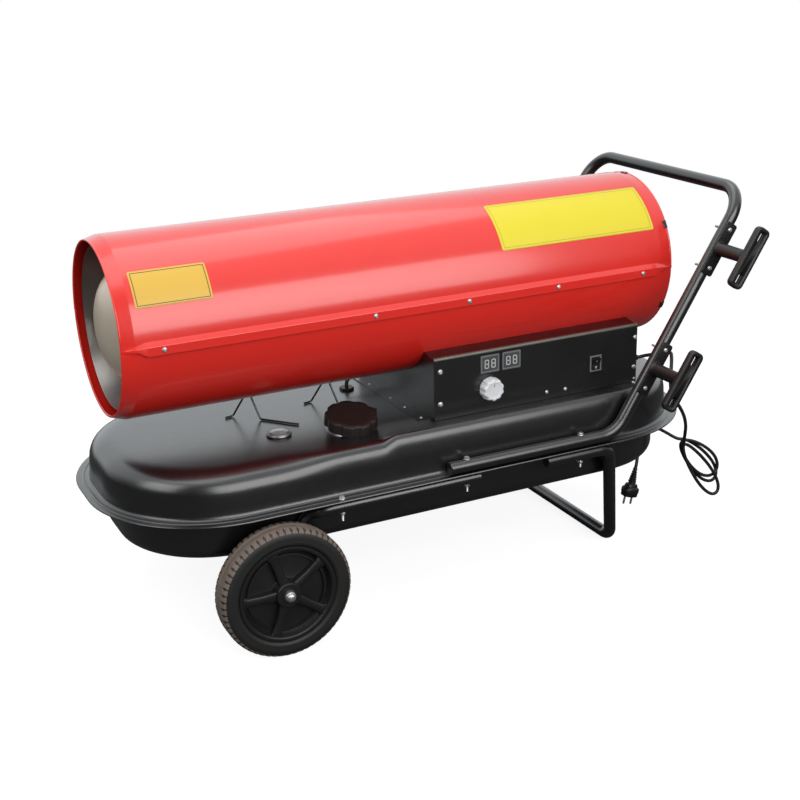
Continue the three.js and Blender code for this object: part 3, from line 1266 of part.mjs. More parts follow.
// ---- handle: one tube, lying on the flange, up each leg and across
const HANDLE_TUBE_Z = FLANGE_Z + GAP + TUBE_RADIUS;
function legPoint(z) {
  return LEG_BASE_X + (z - HANDLE_TUBE_Z) / Math.tan(LEG_ANGLE);
}
const BAR_X = legPoint(HANDLE_BAR_Z);
const halfHandle = (y) => [
  [HANDLE_FRONT_X, y, HANDLE_TUBE_Z], [LEG_BASE_X, y, HANDLE_TUBE_Z], [BAR_X, y, HANDLE_BAR_Z],
];
const handlePath = [...halfHandle(-HANDLE_Y), ...halfHandle(HANDLE_Y).reverse()];
add('handle_frame', sweep(filleted(handlePath, HANDLE_BEND), TUBE_RADIUS, TUBE_SIDES), BLACK_PAINT);

// ---- rear foot: one tube under the flange, down and in to a bar on the floor
const FOOT_TUBE_Z = FLANGE_UNDERSIDE - GAP - TUBE_RADIUS;
const halfFoot = (side) => [
  [FOOT_FRONT_X, side * FOOT_Y, FOOT_TUBE_Z],
  [FOOT_BEND_X, side * FOOT_Y, FOOT_TUBE_Z],
  [FOOT_BAR_X, side * FOOT_BAR_HALF, TUBE_RADIUS],
];
const footPath = [...halfFoot(-1), ...halfFoot(1).reverse()];
add('rear_foot', sweep(filleted(footPath, FOOT_BEND), TUBE_RADIUS, TUBE_SIDES), BLACK_PAINT);

// ---- wheel frame: a tube under each flange that turns down between tank and wheel to an eye on the axle
const WHEEL_TUBE_Z = FLANGE_UNDERSIDE - GAP - WHEEL_TUBE_RADIUS;
function wheelFrame(side) {
  const route = [
    ...WHEEL_TUBE_TURN.map(([x, inwards, down]) => [x, HANDLE_Y - inwards, WHEEL_TUBE_Z - down]),
    ...WHEEL_TUBE_DROP.map(([x, out, down]) => [x, WHEEL_TUBE_INNER_Y + out, WHEEL_TUBE_Z - down]),
    ...WHEEL_TUBE_END.map(([x, z]) => [x, WHEEL_TUBE_INNER_Y, WHEEL_RADIUS + z]),
  ].map(([x, y, z]) => new THREE.Vector3(WHEEL_X + x, side * y, z));
  const bend = new THREE.CatmullRomCurve3(route, false, 'centripetal').getSpacedPoints(10);
  const stations = [new THREE.Vector3(WHEEL_TUBE_REAR_X, side * HANDLE_Y, WHEEL_TUBE_Z), ...bend];
  const tube = sweep(stations, WHEEL_TUBE_RADIUS, TUBE_SIDES);
  const eyeY = side * WHEEL_TUBE_INNER_Y;
  const eyeEnds = [-1, 1].map((end) => [WHEEL_X, eyeY + (end * EYE_WIDTH) / 2, WHEEL_RADIUS]);
  const boreEnds = [-1, 1].map((end) => [WHEEL_X, eyeY + end * EYE_WIDTH, WHEEL_RADIUS]);
  return cut(join(tube, bar(...eyeEnds, EYE_RADIUS, 24)), bar(...boreEnds, AXLE_RADIUS + GAP, 24));
}
add('wheel_frame_near', wheelFrame(-1), BLACK_PAINT);
add('wheel_frame_far', wheelFrame(1), BLACK_PAINT);

// ---- axle and wheels
const AXLE_HALF = WHEEL_OUTER_Y + AXLE_OVERHANG;
const AXLE_SHOULDER = WHEEL_OUTER_Y + 1 + RUN; // the thread for the cap nut starts here
const THREAD_RADIUS = AXLE_RADIUS - 1.4;
add('axle', turned([
  [0, -AXLE_HALF], [THREAD_RADIUS, -AXLE_HALF], [THREAD_RADIUS, -AXLE_SHOULDER],
  [AXLE_RADIUS, -AXLE_SHOULDER], [AXLE_RADIUS, AXLE_SHOULDER], [THREAD_RADIUS, AXLE_SHOULDER],
  [THREAD_RADIUS, AXLE_HALF], [0, AXLE_HALF],
]), STEEL, [WHEEL_X, 0, WHEEL_RADIUS]);

const HUB_RADIUS = WHEEL_RADIUS - TYRE_DEPTH;
const HALF_WHEEL = TYRE_WIDTH / 2;
const WHEEL_SIDES = 28;
const TYRE_BORE = (HUB_RADIUS + GAP) / Math.cos(Math.PI / WHEEL_SIDES);

function hub() {
  const rim = HUB_RADIUS - HUB_RIM;
  const faceHalf = HALF_WHEEL - HUB_FACE_INSET;
  const [webBack, webFront] = [HUB_WEB_OFFSET - HUB_WEB / 2, HUB_WEB_OFFSET + HUB_WEB / 2];
  const body = turned([
    [AXLE_RADIUS + RUN, -HALF_WHEEL], [HUB_BOSS_RADIUS, -HALF_WHEEL], [HUB_BOSS_RADIUS, webBack],
    [rim, webBack], [rim, -faceHalf], [HUB_RADIUS, -faceHalf], [HUB_RADIUS, faceHalf], [rim, faceHalf],
    [rim - 4, webFront], [HUB_BOSS_RADIUS + 3, webFront], [HUB_BOSS_RADIUS, HALF_WHEEL + 1],
    [AXLE_RADIUS + RUN, HALF_WHEEL + 1],
  ], 20);
  const spokes = [];
  for (let k = 0; k < SPOKES; k += 1) {
    const spoke = box(
      [HUB_BOSS_RADIUS - 5, HUB_WEB_OFFSET, -SPOKE_WIDTH / 2],
      [rim + 1, HUB_WEB_OFFSET + SPOKE_DEPTH, SPOKE_WIDTH / 2],
    );
    spokes.push(spoke.rotateY((2 * Math.PI * k) / SPOKES));
  }
  return join(body, ...spokes);
}

function tyre() {
  const r = WHEEL_RADIUS;
  const s = TYRE_SHOULDER;
  const profile = [[TYRE_BORE, -HALF_WHEEL + 4], [TYRE_BORE + 6, -HALF_WHEEL]];
  for (const side of [-1, 1]) {
    for (let k = 0; k <= 2; k += 1) {
      const angle = (Math.PI / 4) * (side < 0 ? k : 2 - k);
      profile.push([r - s + s * Math.sin(angle), side * (HALF_WHEEL - s + s * Math.cos(angle))]);
    }
  }
  profile.push([TYRE_BORE + 6, HALF_WHEEL], [TYRE_BORE, HALF_WHEEL - 4]);
  return turned(profile, WHEEL_SIDES);
}

function capNut() {
  const body = bar([0, 0, 0], [0, NUT_LENGTH * 0.6, 0], NUT_RADIUS, 6);
  const dome = turned([
    [0, 0], [NUT_RADIUS * 0.8, 0], [NUT_RADIUS * 0.8, NUT_LENGTH * 0.7],
    [NUT_RADIUS * 0.5, NUT_LENGTH * 0.92],
    [0, NUT_LENGTH],
  ], 16);
  const thread = bar([0, -1, 0], [0, AXLE_HALF - AXLE_SHOULDER + GAP, 0], THREAD_RADIUS + GAP, 16);
  return cut(join(body, dome), thread);
}

for (const [side, place] of [[-1, 'near'], [1, 'far']]) {
  const turn = side < 0 ? TOWARDS_VIEW : UPRIGHT;
  const middle = [WHEEL_X, side * (WHEEL_OUTER_Y - HALF_WHEEL), WHEEL_RADIUS];
  add(`wheel_hub_${place}`, hub(), BLACK_PLASTIC, middle, turn);
  add(`tyre_${place}`, tyre(), RUBBER, middle, turn);
  add(`axle_nut_${place}`, capNut(), STEEL, [WHEEL_X, side * (AXLE_SHOULDER + GAP), WHEEL_RADIUS], turn);
}

// ---- cord wraps: a plate on the near leg, a stem pointing out of it and a bar across the stem's end
function cordWrap() {
  // its own X runs across the leg and Z up along it; the wrap points to -Y, away from the machine
  const plateBack = -TUBE_RADIUS - GAP;
  const plateFront = plateBack - WRAP_PLATE[1];
  const stemEnd = plateFront - WRAP_STEM;
  const barThick = WRAP_BAR[1];
  const slab = ([w, , l], front, back) => box([-w / 2, front, -l / 2], [w / 2, back, l / 2]);
  const plate = slab(WRAP_PLATE, plateFront, plateBack);
  const stem = bar([0, plateFront + 1, 0], [0, stemEnd - 1, 0], WRAP_STEM_RADIUS, 20);
  const cross = slab(WRAP_BAR, stemEnd - barThick, stemEnd);
  const recesses = [-1, 1].map((end) => box(
    [-WRAP_RECESS[0] / 2, stemEnd - barThick - 5, end * WRAP_RECESS_AT - WRAP_RECESS[1] / 2],
    [WRAP_RECESS[0] / 2, stemEnd - barThick + WRAP_RECESS_DEPTH, end * WRAP_RECESS_AT + WRAP_RECESS[1] / 2],
  ));
  return cut(join(plate, stem, cross), ...recesses);
}

const LEG_LEAN = new THREE.Euler(0, Math.PI / 2 - LEG_ANGLE, 0);
['upper', 'lower'].forEach((place, k) => {
  add(`cord_wrap_${place}`, cordWrap(), BLACK_PLASTIC, [legPoint(WRAP_Z[k]), -HANDLE_Y, WRAP_Z[k]], LEG_LEAN);
});

// ---- support wires: bent rods whose feet stand on the tank and whose apex lies under the shell
function supportWire() {
  const floor = TANK_TOP_Z + GAP + WIRE_RADIUS;
  const [apexX, apexY] = WIRE_APEX;
  const apexZ = SHELL_AXIS_Z - Math.sqrt((SHELL_RADIUS + GAP + WIRE_RADIUS) ** 2 - apexY ** 2) - 2 * GAP;
  const onTank = ([x, y]) => [x, y, floor];
  const points = [...WIRE_FOOT.map(onTank), [apexX, apexY, apexZ], ...WIRE_TAIL.map(onTank)];
  return sweep(filleted(points, WIRE_BEND, THREE.MathUtils.degToRad(40)), WIRE_RADIUS, 6);
}
['front', 'rear'].forEach((place, k) => {
  add(`support_wire_${place}`, supportWire(), BLACK_PAINT, [WIRE_FRONT_X + k * WIRE_SPACING, 0, 0]);
});

// ---- power cord: a lead from the gland round the lower wrap's stem, a hank, and a tail with the plug
const CORD_SIDES = 8;
// its first and last two points are straight runs, square to what the cord meets
function cordTube(points, count) {
  const route = points.map((point) => new THREE.Vector3(...point));
  const curve = new THREE.CatmullRomCurve3(route.slice(1, -1), false, 'centripetal');
  return sweep([route[0], ...curve.getSpacedPoints(count), route.at(-1)], CORD_RADIUS, CORD_SIDES);
}

const leadStart = [GLAND_OUT_X + GAP, GLAND_Y, GLAND_Z];
const leadPath = [
  leadStart, [leadStart[0] + 2 * CORD_RADIUS, GLAND_Y, GLAND_Z],
  ...LEAD_POINTS, ...LEAD_DROP,
];

// each loop hangs from the same knot, swung sideways so that the loops fan out
const LOOP_STEPS = 24;
const HANK_LOOPS = [[168, 26, -0.03], [132, 33, 0.17], [150, 29, 0.07]]; // length, half width, swing
const HANK_DRIFT = 2.6; // sideways start of each loop, so that no strand meets its neighbour

function hankPoints() {
  const points = [];
  HANK_LOOPS.forEach(([length, halfWidth, swing], loop) => {
    for (let k = 0; k < LOOP_STEPS; k += 1) {
      const t = (k + 0.5) / LOOP_STEPS;
      const angle = 2 * Math.PI * t;
      const down = (length * (1 - Math.cos(angle))) / 2;
      const wide = -halfWidth * Math.sin(angle) * (0.35 + 0.65 * (down / length));
      const along = wide * Math.cos(swing) + down * Math.sin(swing);
      const drop = down * Math.cos(swing) - wide * Math.sin(swing);
      const layer = (loop + t - HANK_LOOPS.length / 2) * HANK_LAYER;
      points.push(new THREE.Vector3(along + HANK_DRIFT * loop, layer, -drop));
    }
  });
  const turn = new THREE.Matrix4().makeRotationY(HANK_TURN).setPosition(...HANK_AT);
  return points.map((point) => point.applyMatrix4(turn));
}

function selfGap(stations, diameter) {
  let least = Infinity;
  for (let i = 0; i < stations.length; i += 1) {
    for (let j = i + 1; j < stations.length; j += 1) {
      let run = 0;
      for (let k = i; k < j; k += 1) run += stations[k].distanceTo(stations[k + 1]);
      if (run > 3 * diameter) least = Math.min(least, stations[i].distanceTo(stations[j]) - diameter);
    }
  }
  return least;
}

const hank = hankPoints();
console.log('hank: least gap between its own turns, mm', selfGap(hank, 2 * CORD_RADIUS).toFixed(2));
add('cord_hank', sweep(hank, CORD_RADIUS, 6), CORD_RUBBER);

function awayFrom(stations, fromEnd, distance) {
  const [end, before] = fromEnd ? [stations.at(-1), stations.at(-2)] : [stations[0], stations[1]];
  return end.clone().addScaledVector(end.clone().sub(before).normalize(), distance).toArray();
}
const hankStart = awayFrom(hank, false, GAP);
const hankStartOut = awayFrom(hank, false, 2 * CORD_RADIUS);
const hankEnd = awayFrom(hank, true, GAP);
const hankEndOut = awayFrom(hank, true, 2 * CORD_RADIUS);

const plugAxis = new THREE.Vector3(-Math.sin(PLUG_TILT), 0, -Math.cos(PLUG_TILT));
const reliefTop = new THREE.Vector3(...PLUG_AT).addScaledVector(plugAxis, -GAP);
const reliefOut = reliefTop.clone().addScaledVector(plugAxis, -2 * CORD_RADIUS);
add('cord_lead', cordTube([...leadPath, hankStartOut, hankStart], 28), CORD_RUBBER);
add('cord_tail', cordTube([
  hankEnd, hankEndOut, ...TAIL_POINTS, reliefOut.toArray(), reliefTop.toArray(),
], 18), CORD_RUBBER);

// the plug hangs from its relief, a round body with two pins
function powerPlug() {
  const r = PLUG_RADIUS;
  const body = turned([
    [0, 0], [CORD_RADIUS + 1, 0], [CORD_RADIUS + 4, PLUG_RELIEF], [r * 0.75, PLUG_RELIEF + 4],
    [r, PLUG_RELIEF + 12], [r, PLUG_RELIEF + PLUG_BODY - 3], [r - 2, PLUG_RELIEF + PLUG_BODY],
    [0, PLUG_RELIEF + PLUG_BODY],
  ], 16);
  const pins = [-1, 1].map((side) => {
    const x = (side * PLUG_PIN_SPACING) / 2;
    const from = PLUG_RELIEF + PLUG_BODY;
    return bar([x, from - 2, 0], [x, from + PLUG_PIN_LENGTH, 0], PLUG_PIN_RADIUS, 10);
  });
  return join(body, ...pins);
}
const plug = add('plug', powerPlug(), BLACK_PLASTIC, PLUG_AT);
plug.quaternion.setFromUnitVectors(UP, plugAxis);

// ---- the frame: the origin is the middle of the footprint of everything but the cord, on the floor
const CORD_PIECES = ['cord_lead', 'cord_hank', 'cord_tail', 'plug'];
heater.updateMatrixWorld(true);
const bounds = new THREE.Box3();
heater.traverse((piece) => {
  if (piece.isMesh && !CORD_PIECES.includes(piece.name)) bounds.expandByObject(piece, true);
});
const middle = bounds.getCenter(new THREE.Vector3());
const size = bounds.getSize(new THREE.Vector3()).toArray().map((v) => v.toFixed(2));
console.log('size without the cord, mm', size.join(' x '));
const origin = [middle.x, middle.y, bounds.min.z].map((v) => v.toFixed(3));
console.log('origin in the building frame, mm', origin.join(' '));
heater.position.set(-middle.x, -middle.y, -bounds.min.z);

export default heater;
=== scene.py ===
# %% [markdown]
# # A mobile forced air heater, dressed in Blender
# The mechanical model of the heater is loaded as a fixed frame: plain solids with their joints. This notebook
# adds the finishes, the smooth sheet metal, the rubber and the cord around it. The look could be modelled in
# a scene of its own, but then nothing would make the pieces fit. Here everything is placed in the frame's own
# coordinates.

# %% Load the frame
import json
import math
import bpy
import bmesh
from mathutils import Matrix, Vector


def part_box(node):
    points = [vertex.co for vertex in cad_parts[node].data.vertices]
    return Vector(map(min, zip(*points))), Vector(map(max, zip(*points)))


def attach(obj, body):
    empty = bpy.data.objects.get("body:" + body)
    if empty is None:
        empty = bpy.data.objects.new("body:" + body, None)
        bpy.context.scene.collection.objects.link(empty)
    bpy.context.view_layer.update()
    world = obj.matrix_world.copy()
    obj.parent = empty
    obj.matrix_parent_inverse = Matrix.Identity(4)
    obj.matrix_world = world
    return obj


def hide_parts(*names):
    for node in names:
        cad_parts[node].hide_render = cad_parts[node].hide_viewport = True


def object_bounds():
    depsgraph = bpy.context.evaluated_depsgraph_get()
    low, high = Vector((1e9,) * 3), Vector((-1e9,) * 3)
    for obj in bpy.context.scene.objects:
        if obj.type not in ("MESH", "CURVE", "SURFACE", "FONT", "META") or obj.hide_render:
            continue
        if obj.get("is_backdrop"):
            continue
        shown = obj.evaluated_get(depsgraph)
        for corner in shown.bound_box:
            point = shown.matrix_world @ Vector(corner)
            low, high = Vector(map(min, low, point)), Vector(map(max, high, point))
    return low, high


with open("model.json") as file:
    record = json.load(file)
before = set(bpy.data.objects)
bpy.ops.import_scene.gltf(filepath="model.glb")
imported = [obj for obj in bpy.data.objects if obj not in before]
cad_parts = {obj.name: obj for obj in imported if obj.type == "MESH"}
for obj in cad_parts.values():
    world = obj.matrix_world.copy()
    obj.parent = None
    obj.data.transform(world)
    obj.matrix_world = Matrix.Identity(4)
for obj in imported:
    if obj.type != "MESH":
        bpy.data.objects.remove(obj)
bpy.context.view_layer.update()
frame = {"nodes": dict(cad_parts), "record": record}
nodes = frame["nodes"]

# %% [markdown]
# ## Where things are
# The real machine is easiest to describe in millimetres from its outlet rim (x), its middle plane (y) and the
# floor (z). One helper turns such a point into the frame's metres. Its two offsets are read from the frame:
# the shell starts at x = 0, and the tank is symmetric about y = 0.

# %% A point of the machine, in millimetres
shell_low, shell_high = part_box("upper_shell")
tank_low, tank_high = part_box("tank_upper")
X0 = shell_low.x
Y0 = (tank_low.y + tank_high.y) / 2
MM = 0.001


def at(x, y, z):
    return Vector((X0 + x * MM, Y0 + y * MM, z * MM))


print("offset of the machine's middle plane:", round(Y0, 4), "m")

# %% [markdown]
# ## Camera
# The photograph was taken from the outlet's side, a little above the machine, with a short telephoto lens.
# The numbers below come from fitting a camera to the shell's edges, the wheel and the handle. A camera can be
# aimed with a constraint, but a matrix built from three angles says exactly where it looks and how far it is
# rolled.

# %% Camera
CAMERA_AT = (-541.6, -2347.4, 1266.5)
CAMERA_YAW = 0.453
CAMERA_PITCH = 0.342
CAMERA_ROLL = -0.025
FOCAL_PIXELS = 1366.0
FRAME_PIXELS = 800
SENSOR = 36.0

camera_data = bpy.data.cameras.new("camera")
camera_data.sensor_width = SENSOR
camera_data.lens = SENSOR * FOCAL_PIXELS / FRAME_PIXELS
camera_data.clip_end = 50
camera = bpy.data.objects.new("camera", camera_data)
bpy.context.scene.collection.objects.link(camera)
bpy.context.scene.camera = camera

ahead = Vector((math.sin(CAMERA_YAW) * math.cos(CAMERA_PITCH),
                math.cos(CAMERA_YAW) * math.cos(CAMERA_PITCH), -math.sin(CAMERA_PITCH)))
level = Vector((math.cos(CAMERA_YAW), -math.sin(CAMERA_YAW), 0))
above = level.cross(ahead)
side = level * math.cos(CAMERA_ROLL) + above * math.sin(CAMERA_ROLL)
up = above * math.cos(CAMERA_ROLL) - level * math.sin(CAMERA_ROLL)
camera.matrix_world = Matrix((
    (side.x, up.x, -ahead.x, 0), (side.y, up.y, -ahead.y, 0), (side.z, up.z, -ahead.z, 0), (0, 0, 0, 1),
))
camera.location = at(*CAMERA_AT)
print("lens:", round(camera_data.lens, 1), "mm")

# %% [markdown]
# ## Finishes
# A finish is more than a colour. Each one here gets three layers of noise in object space: a broad one that
# shifts the colour slightly, a middle one that varies the gloss, and a fine one that is the surface's grain.
# All of them are measured in metres, so that the grain has its real size. One helper mixes them all, since
# the finishes differ only in their numbers.

# %% A helper that mixes one finish
def finish(name, colour, rough, metal=0.0, shade=0.85, shade_size=0.05, gloss_shift=0.06,
           grain=0.0, grain_size=0.002, coat=0.0, coat_rough=0.08, specular=0.5):
    material = bpy.data.materials.new(name)
    material.use_nodes = True
    tree = material.node_tree
    shader = tree.nodes["Principled BSDF"]
    shader.inputs["Metallic"].default_value = metal
    shader.inputs["Coat Weight"].default_value = coat
    shader.inputs["Coat Roughness"].default_value = coat_rough
    shader.inputs["Specular IOR Level"].default_value = specular
    place = tree.nodes.new("ShaderNodeTexCoord").outputs["Object"]

    def cloud(size, detail):
        node = tree.nodes.new("ShaderNodeTexNoise")
        node.inputs["Scale"].default_value = 1 / size
        node.inputs["Detail"].default_value = detail
        tree.links.new(place, node.inputs["Vector"])
        return node.outputs["Fac"]

    mix = tree.nodes.new("ShaderNodeMix")
    mix.data_type = "RGBA"
    mix.inputs["A"].default_value = (*[c * shade for c in colour], 1)
    mix.inputs["B"].default_value = (*colour, 1)
    tree.links.new(cloud(shade_size, 4), mix.inputs["Factor"])
    tree.links.new(mix.outputs["Result"], shader.inputs["Base Color"])
    gloss = tree.nodes.new("ShaderNodeMapRange")
    gloss.inputs["To Min"].default_value = max(rough - gloss_shift, 0.02)
    gloss.inputs["To Max"].default_value = min(rough + gloss_shift, 1)
    tree.links.new(cloud(shade_size / 3, 5), gloss.inputs["Value"])
    tree.links.new(gloss.outputs["Result"], shader.inputs["Roughness"])
    if grain > 0:
        bump = tree.nodes.new("ShaderNodeBump")
        bump.inputs["Strength"].default_value = grain
        bump.inputs["Distance"].default_value = grain_size / 4
        tree.links.new(cloud(grain_size, 3), bump.inputs["Height"])
        tree.links.new(bump.outputs["Normal"], shader.inputs["Normal"])
    return material


# %% [markdown]
# The machine has few finishes: glossy red powder coat on the shell, semi-gloss black on all other steel,
# black and pale mouldings, heat-tinted stainless in the outlet, zinc-plated screws and dusty rubber. A clear
# coat over the two powder coats gives their broad, soft shine. Each finish is made once and shared by all its
# pieces.

# %% The finishes of this machine
RED = finish("red_powder_coat", (0.75, 0.02, 0.012), 0.32, shade=0.94, grain=0.08, grain_size=0.003, coat=0.9,
             coat_rough=0.14)
BLACK = finish("black_powder_coat", (0.0046, 0.0046, 0.0054), 0.3, shade=0.8, grain=0.1, grain_size=0.0028,
               coat=0.8, coat_rough=0.26, specular=0.65)
BLACK_MOULDED = finish("black_moulding", (0.0085, 0.0083, 0.0082), 0.42, grain=0.3, grain_size=0.0012)
# A paler black for the panel's rolled edge: its colour is a painted highlight along the roll.
PAINTED_HIGHLIGHT_EDGE = finish("black_with_painted_highlight", (0.15, 0.135, 0.118), 0.34, metal=0.4, shade=0.55, grain=0.1,
                    specular=0.9)
CAP_BROWN = finish("cap_moulding", (0.016, 0.0105, 0.0095), 0.48, grain=0.35, grain_size=0.0012,
                   specular=0.35)
GREY_MOULDED = finish("grey_moulding", (0.16, 0.162, 0.165), 0.4, grain=0.2, grain_size=0.001)
PALE_MOULDED = finish("pale_moulding", (0.7, 0.71, 0.73), 0.42, shade=0.94, grain=0.15, grain_size=0.001)
TYRE = finish("tyre_tread", (0.19, 0.148, 0.122), 0.85, shade=0.5, shade_size=0.02, grain=0.7,
              grain_size=0.0028)
SIDEWALL = finish("tyre_sidewall", (0.013, 0.012, 0.0115), 0.55, shade=0.7, shade_size=0.03, grain=0.3,
                  grain_size=0.0016)
RUBBER = finish("cord_rubber", (0.012, 0.012, 0.0125), 0.5, grain=0.25, grain_size=0.001)
STAINLESS = finish("heat_tinted_steel", (0.82, 0.72, 0.58), 0.36, metal=0.45, shade=0.7, shade_size=0.09,
                   grain=0.2, grain_size=0.004)
LINER_STEEL = finish("sooted_steel", (0.34, 0.32, 0.3), 0.33, metal=0.9, shade=0.6, shade_size=0.08,
                     grain=0.2, grain_size=0.004)
ZINC = finish("zinc_plate", (0.66, 0.67, 0.69), 0.34, metal=0.9, shade=0.85, shade_size=0.01)
NICKEL = finish("dull_nickel", (0.3, 0.29, 0.275), 0.36, metal=0.9, shade=0.8, shade_size=0.01)
BRONZE = finish("darkened_brass", (0.05, 0.042, 0.032), 0.42, metal=0.6, shade=0.8, shade_size=0.01)
BRASS = finish("brass", (0.52, 0.38, 0.13), 0.32, metal=1.0, shade=0.8, shade_size=0.01)
CAST = finish("cast_aluminium", (0.42, 0.43, 0.44), 0.5, metal=0.8, shade=0.8, grain=0.5, grain_size=0.0015)
BOARD = finish("circuit_board", (0.02, 0.14, 0.06), 0.45, shade=0.7, shade_size=0.008)
POINTER_RED = finish("pointer_red", (0.6, 0.02, 0.02), 0.4, shade=0.9)
AMBER = finish("amber_plate", (0.68, 0.42, 0.06), 0.42, shade=0.95, grain=0.08, grain_size=0.002)
YELLOW = finish("yellow_plate", (0.72, 0.61, 0.03), 0.42, shade=0.96, grain=0.08, grain_size=0.002)
DARK_LINE = finish("dark_line", (0.04, 0.035, 0.03), 0.45, shade=0.8, shade_size=0.01)
FAINT_LINE = finish("faint_line", (0.42, 0.36, 0.04), 0.45, shade=0.9, shade_size=0.01)
WINDOW = finish("clear_window", (0.85, 0.9, 0.92), 0.06, shade=0.97)
WINDOW.node_tree.nodes["Principled BSDF"].inputs["Transmission Weight"].default_value = 0.9
WINDOW.node_tree.nodes["Principled BSDF"].inputs["IOR"].default_value = 1.45
print("finishes:", len(bpy.data.materials))

# %% [markdown]
# Nodes of the frame keep their meshes, because the mechanical model owns them. Each gets its finish, and the
# ones that stay in view get a fine bevel where an edge would otherwise be razor sharp, because real edges
# always catch a line of light. The bevel is a modifier, so the mesh below it stays as it was.

# %% Dress a node of the frame
SLOT_FINISH = {
    "red_paint": RED, "black_paint": BLACK, "black_plastic": BLACK_MOULDED, "pale_plastic": PALE_MOULDED,
    "window": WINDOW, "tyre": SIDEWALL, "rubber": RUBBER, "stainless": STAINLESS, "steel": ZINC,
    "brass": BRASS, "cast_aluminium": CAST, "board": BOARD,
}
SHARP = math.radians(38)
node_slot = {row["node"]: row["material_slot"] for row in frame["record"]["subparts"]}


def bevel(piece, width, segments=2):
    modifier = piece.modifiers.new("edge", "BEVEL")
    modifier.width = width * MM
    modifier.segments = segments
    modifier.limit_method = "ANGLE"
    modifier.angle_limit = SHARP
    modifier.harden_normals = False
    return piece


for name, node in nodes.items():
    node.data.materials.clear()
    node.data.materials.append(SLOT_FINISH[node_slot[name]])
    node.data.polygons.foreach_set("use_smooth", [True] * len(node.data.polygons))
    node.data.set_sharp_from_angle(angle=SHARP)
print("dressed", len(nodes), "nodes of the frame")

# %% [markdown]
# ## Building blocks for new pieces
# Every new piece is one of a few kinds: a skin over a row of rings (sheet metal, mouldings), a turned form
# (knobs, wheels, screws), or a tube along a route (frames, wires). Each kind is one short function that makes
# a mesh in millimetres and hands it to `piece`, which gives it a finish and lets it ride on its body.

# %% Make a piece from corners and faces
def piece(name, corners, faces, material, body="chassis", smooth=SHARP):
    mesh = bpy.data.meshes.new(name)
    mesh.from_pydata([at(*c) for c in corners], [], faces)
    work = bmesh.new()
    work.from_mesh(mesh)
    bmesh.ops.remove_doubles(work, verts=work.verts, dist=1e-6)
    bmesh.ops.recalc_face_normals(work, faces=work.faces)
    work.to_mesh(mesh)
    work.free()
    mesh.polygons.foreach_set("use_smooth", [True] * len(mesh.polygons))
    mesh.set_sharp_from_angle(angle=smooth)
    mesh.materials.append(material)
    made = bpy.data.objects.new(name, mesh)
    bpy.context.scene.collection.objects.link(made)
    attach(made, body)
    return made


def skin(rings, closed_ends=True, wrap=False):
    """Corners and faces over rings that have equally many points."""
    count = len(rings[0])
    corners = [p for ring in rings for p in ring]
    faces = []
    pairs = len(rings) if wrap else len(rings) - 1
    for r in range(pairs):
        a, b = r * count, ((r + 1) % len(rings)) * count
        for k in range(count):
            n = (k + 1) % count
            faces.append((a + k, a + n, b + n, b + k))
    if closed_ends and not wrap:
        faces.append(tuple(range(count)))
        faces.append(tuple(range(len(corners) - count, len(corners))))
    return corners, faces


def along(axis):
    """A rotation that lays the Z axis along the given direction."""
    return Vector((0, 0, 1)).rotation_difference(Vector(axis).normalized()).to_matrix()


def turned(name, profile, centre, axis, material, body="chassis", steps=64, smooth=SHARP, spin=0.0):
    """A turned form; rows are (radius, height along the axis). It is hollow if they form a loop."""
    turn = along(axis)
    hollow = profile[0] == profile[-1]
    rings = []
    for radius, height in profile[1:] if hollow else profile:
        row = []
        for k in range(steps):
            angle = spin + math.tau * k / steps
            corner = turn @ Vector((radius * math.cos(angle), radius * math.sin(angle), height))
            row.append(tuple(Vector(centre) + corner))
        rings.append(row)
    return piece(name, *skin(rings, wrap=hollow), material, body, smooth)


print("faces of a closed skin over 3 rings of 8 points:", len(skin([[(0, 0, 0)] * 8] * 3)[1]))

# %% [markdown]
# The handle, the foot, the frames and the wires are bent steel tube or wire. A curve with a bevel could make
# them, but a bent tube keeps a round section and a clean rounded end only if its rings stand square to the
# route. Here each ring is carried from point to point with the least possible twist, which is how a bent
# steel tube behaves as well.

# %% Tubes and their routes
def rounded(points, bend, step=math.radians(7)):
    """Replaces the corners of a polyline by arcs of one bend radius."""
    corner = [Vector(p) for p in points]
    route = [corner[0]]
    for k in range(1, len(corner) - 1):
        into = (corner[k] - corner[k - 1]).normalized()
        out = (corner[k + 1] - corner[k]).normalized()
        angle = into.angle(out)
        start = corner[k] - into * bend * math.tan(angle / 2)
        centre = corner[k] + (out - into).normalized() * bend / math.cos(angle / 2)
        axis = into.cross(out).normalized()
        steps = max(2, math.ceil(angle / step))
        for s in range(steps + 1):
            route.append(centre + Matrix.Rotation(angle * s / steps, 3, axis) @ (start - centre))
    route.append(corner[-1])
    return route


def tube_rings(route, radii, sides):
    rings = []
    direction = (route[1] - route[0]).normalized()
    arm = direction.orthogonal().normalized()
    for k, point in enumerate(route):
        ahead_of = route[min(k + 1, len(route) - 1)] - route[max(k - 1, 0)]
        tangent = ahead_of.normalized()
        arm = (arm - tangent * arm.dot(tangent)).normalized()
        other = tangent.cross(arm)
        radius = radii[k]
        turns = [math.tau * s / sides for s in range(sides)]
        rings.append([tuple(point + (arm * math.cos(t) + other * math.sin(t)) * radius) for t in turns])
    return rings


def tube(name, route, radius, material, body="chassis", sides=24, edge=1.0):
    """A tube whose cut ends are slightly rounded over."""
    first = (route[0] - route[1]).normalized()
    last = (route[-1] - route[-2]).normalized()
    path = [route[0], route[0] - first * edge, *route[1:-1], route[-1] - last * edge, route[-1]]
    radii = [radius - edge] + [radius] * (len(path) - 2) + [radius - edge]
    return piece(name, *skin(tube_rings(path, radii, sides)), material, body)


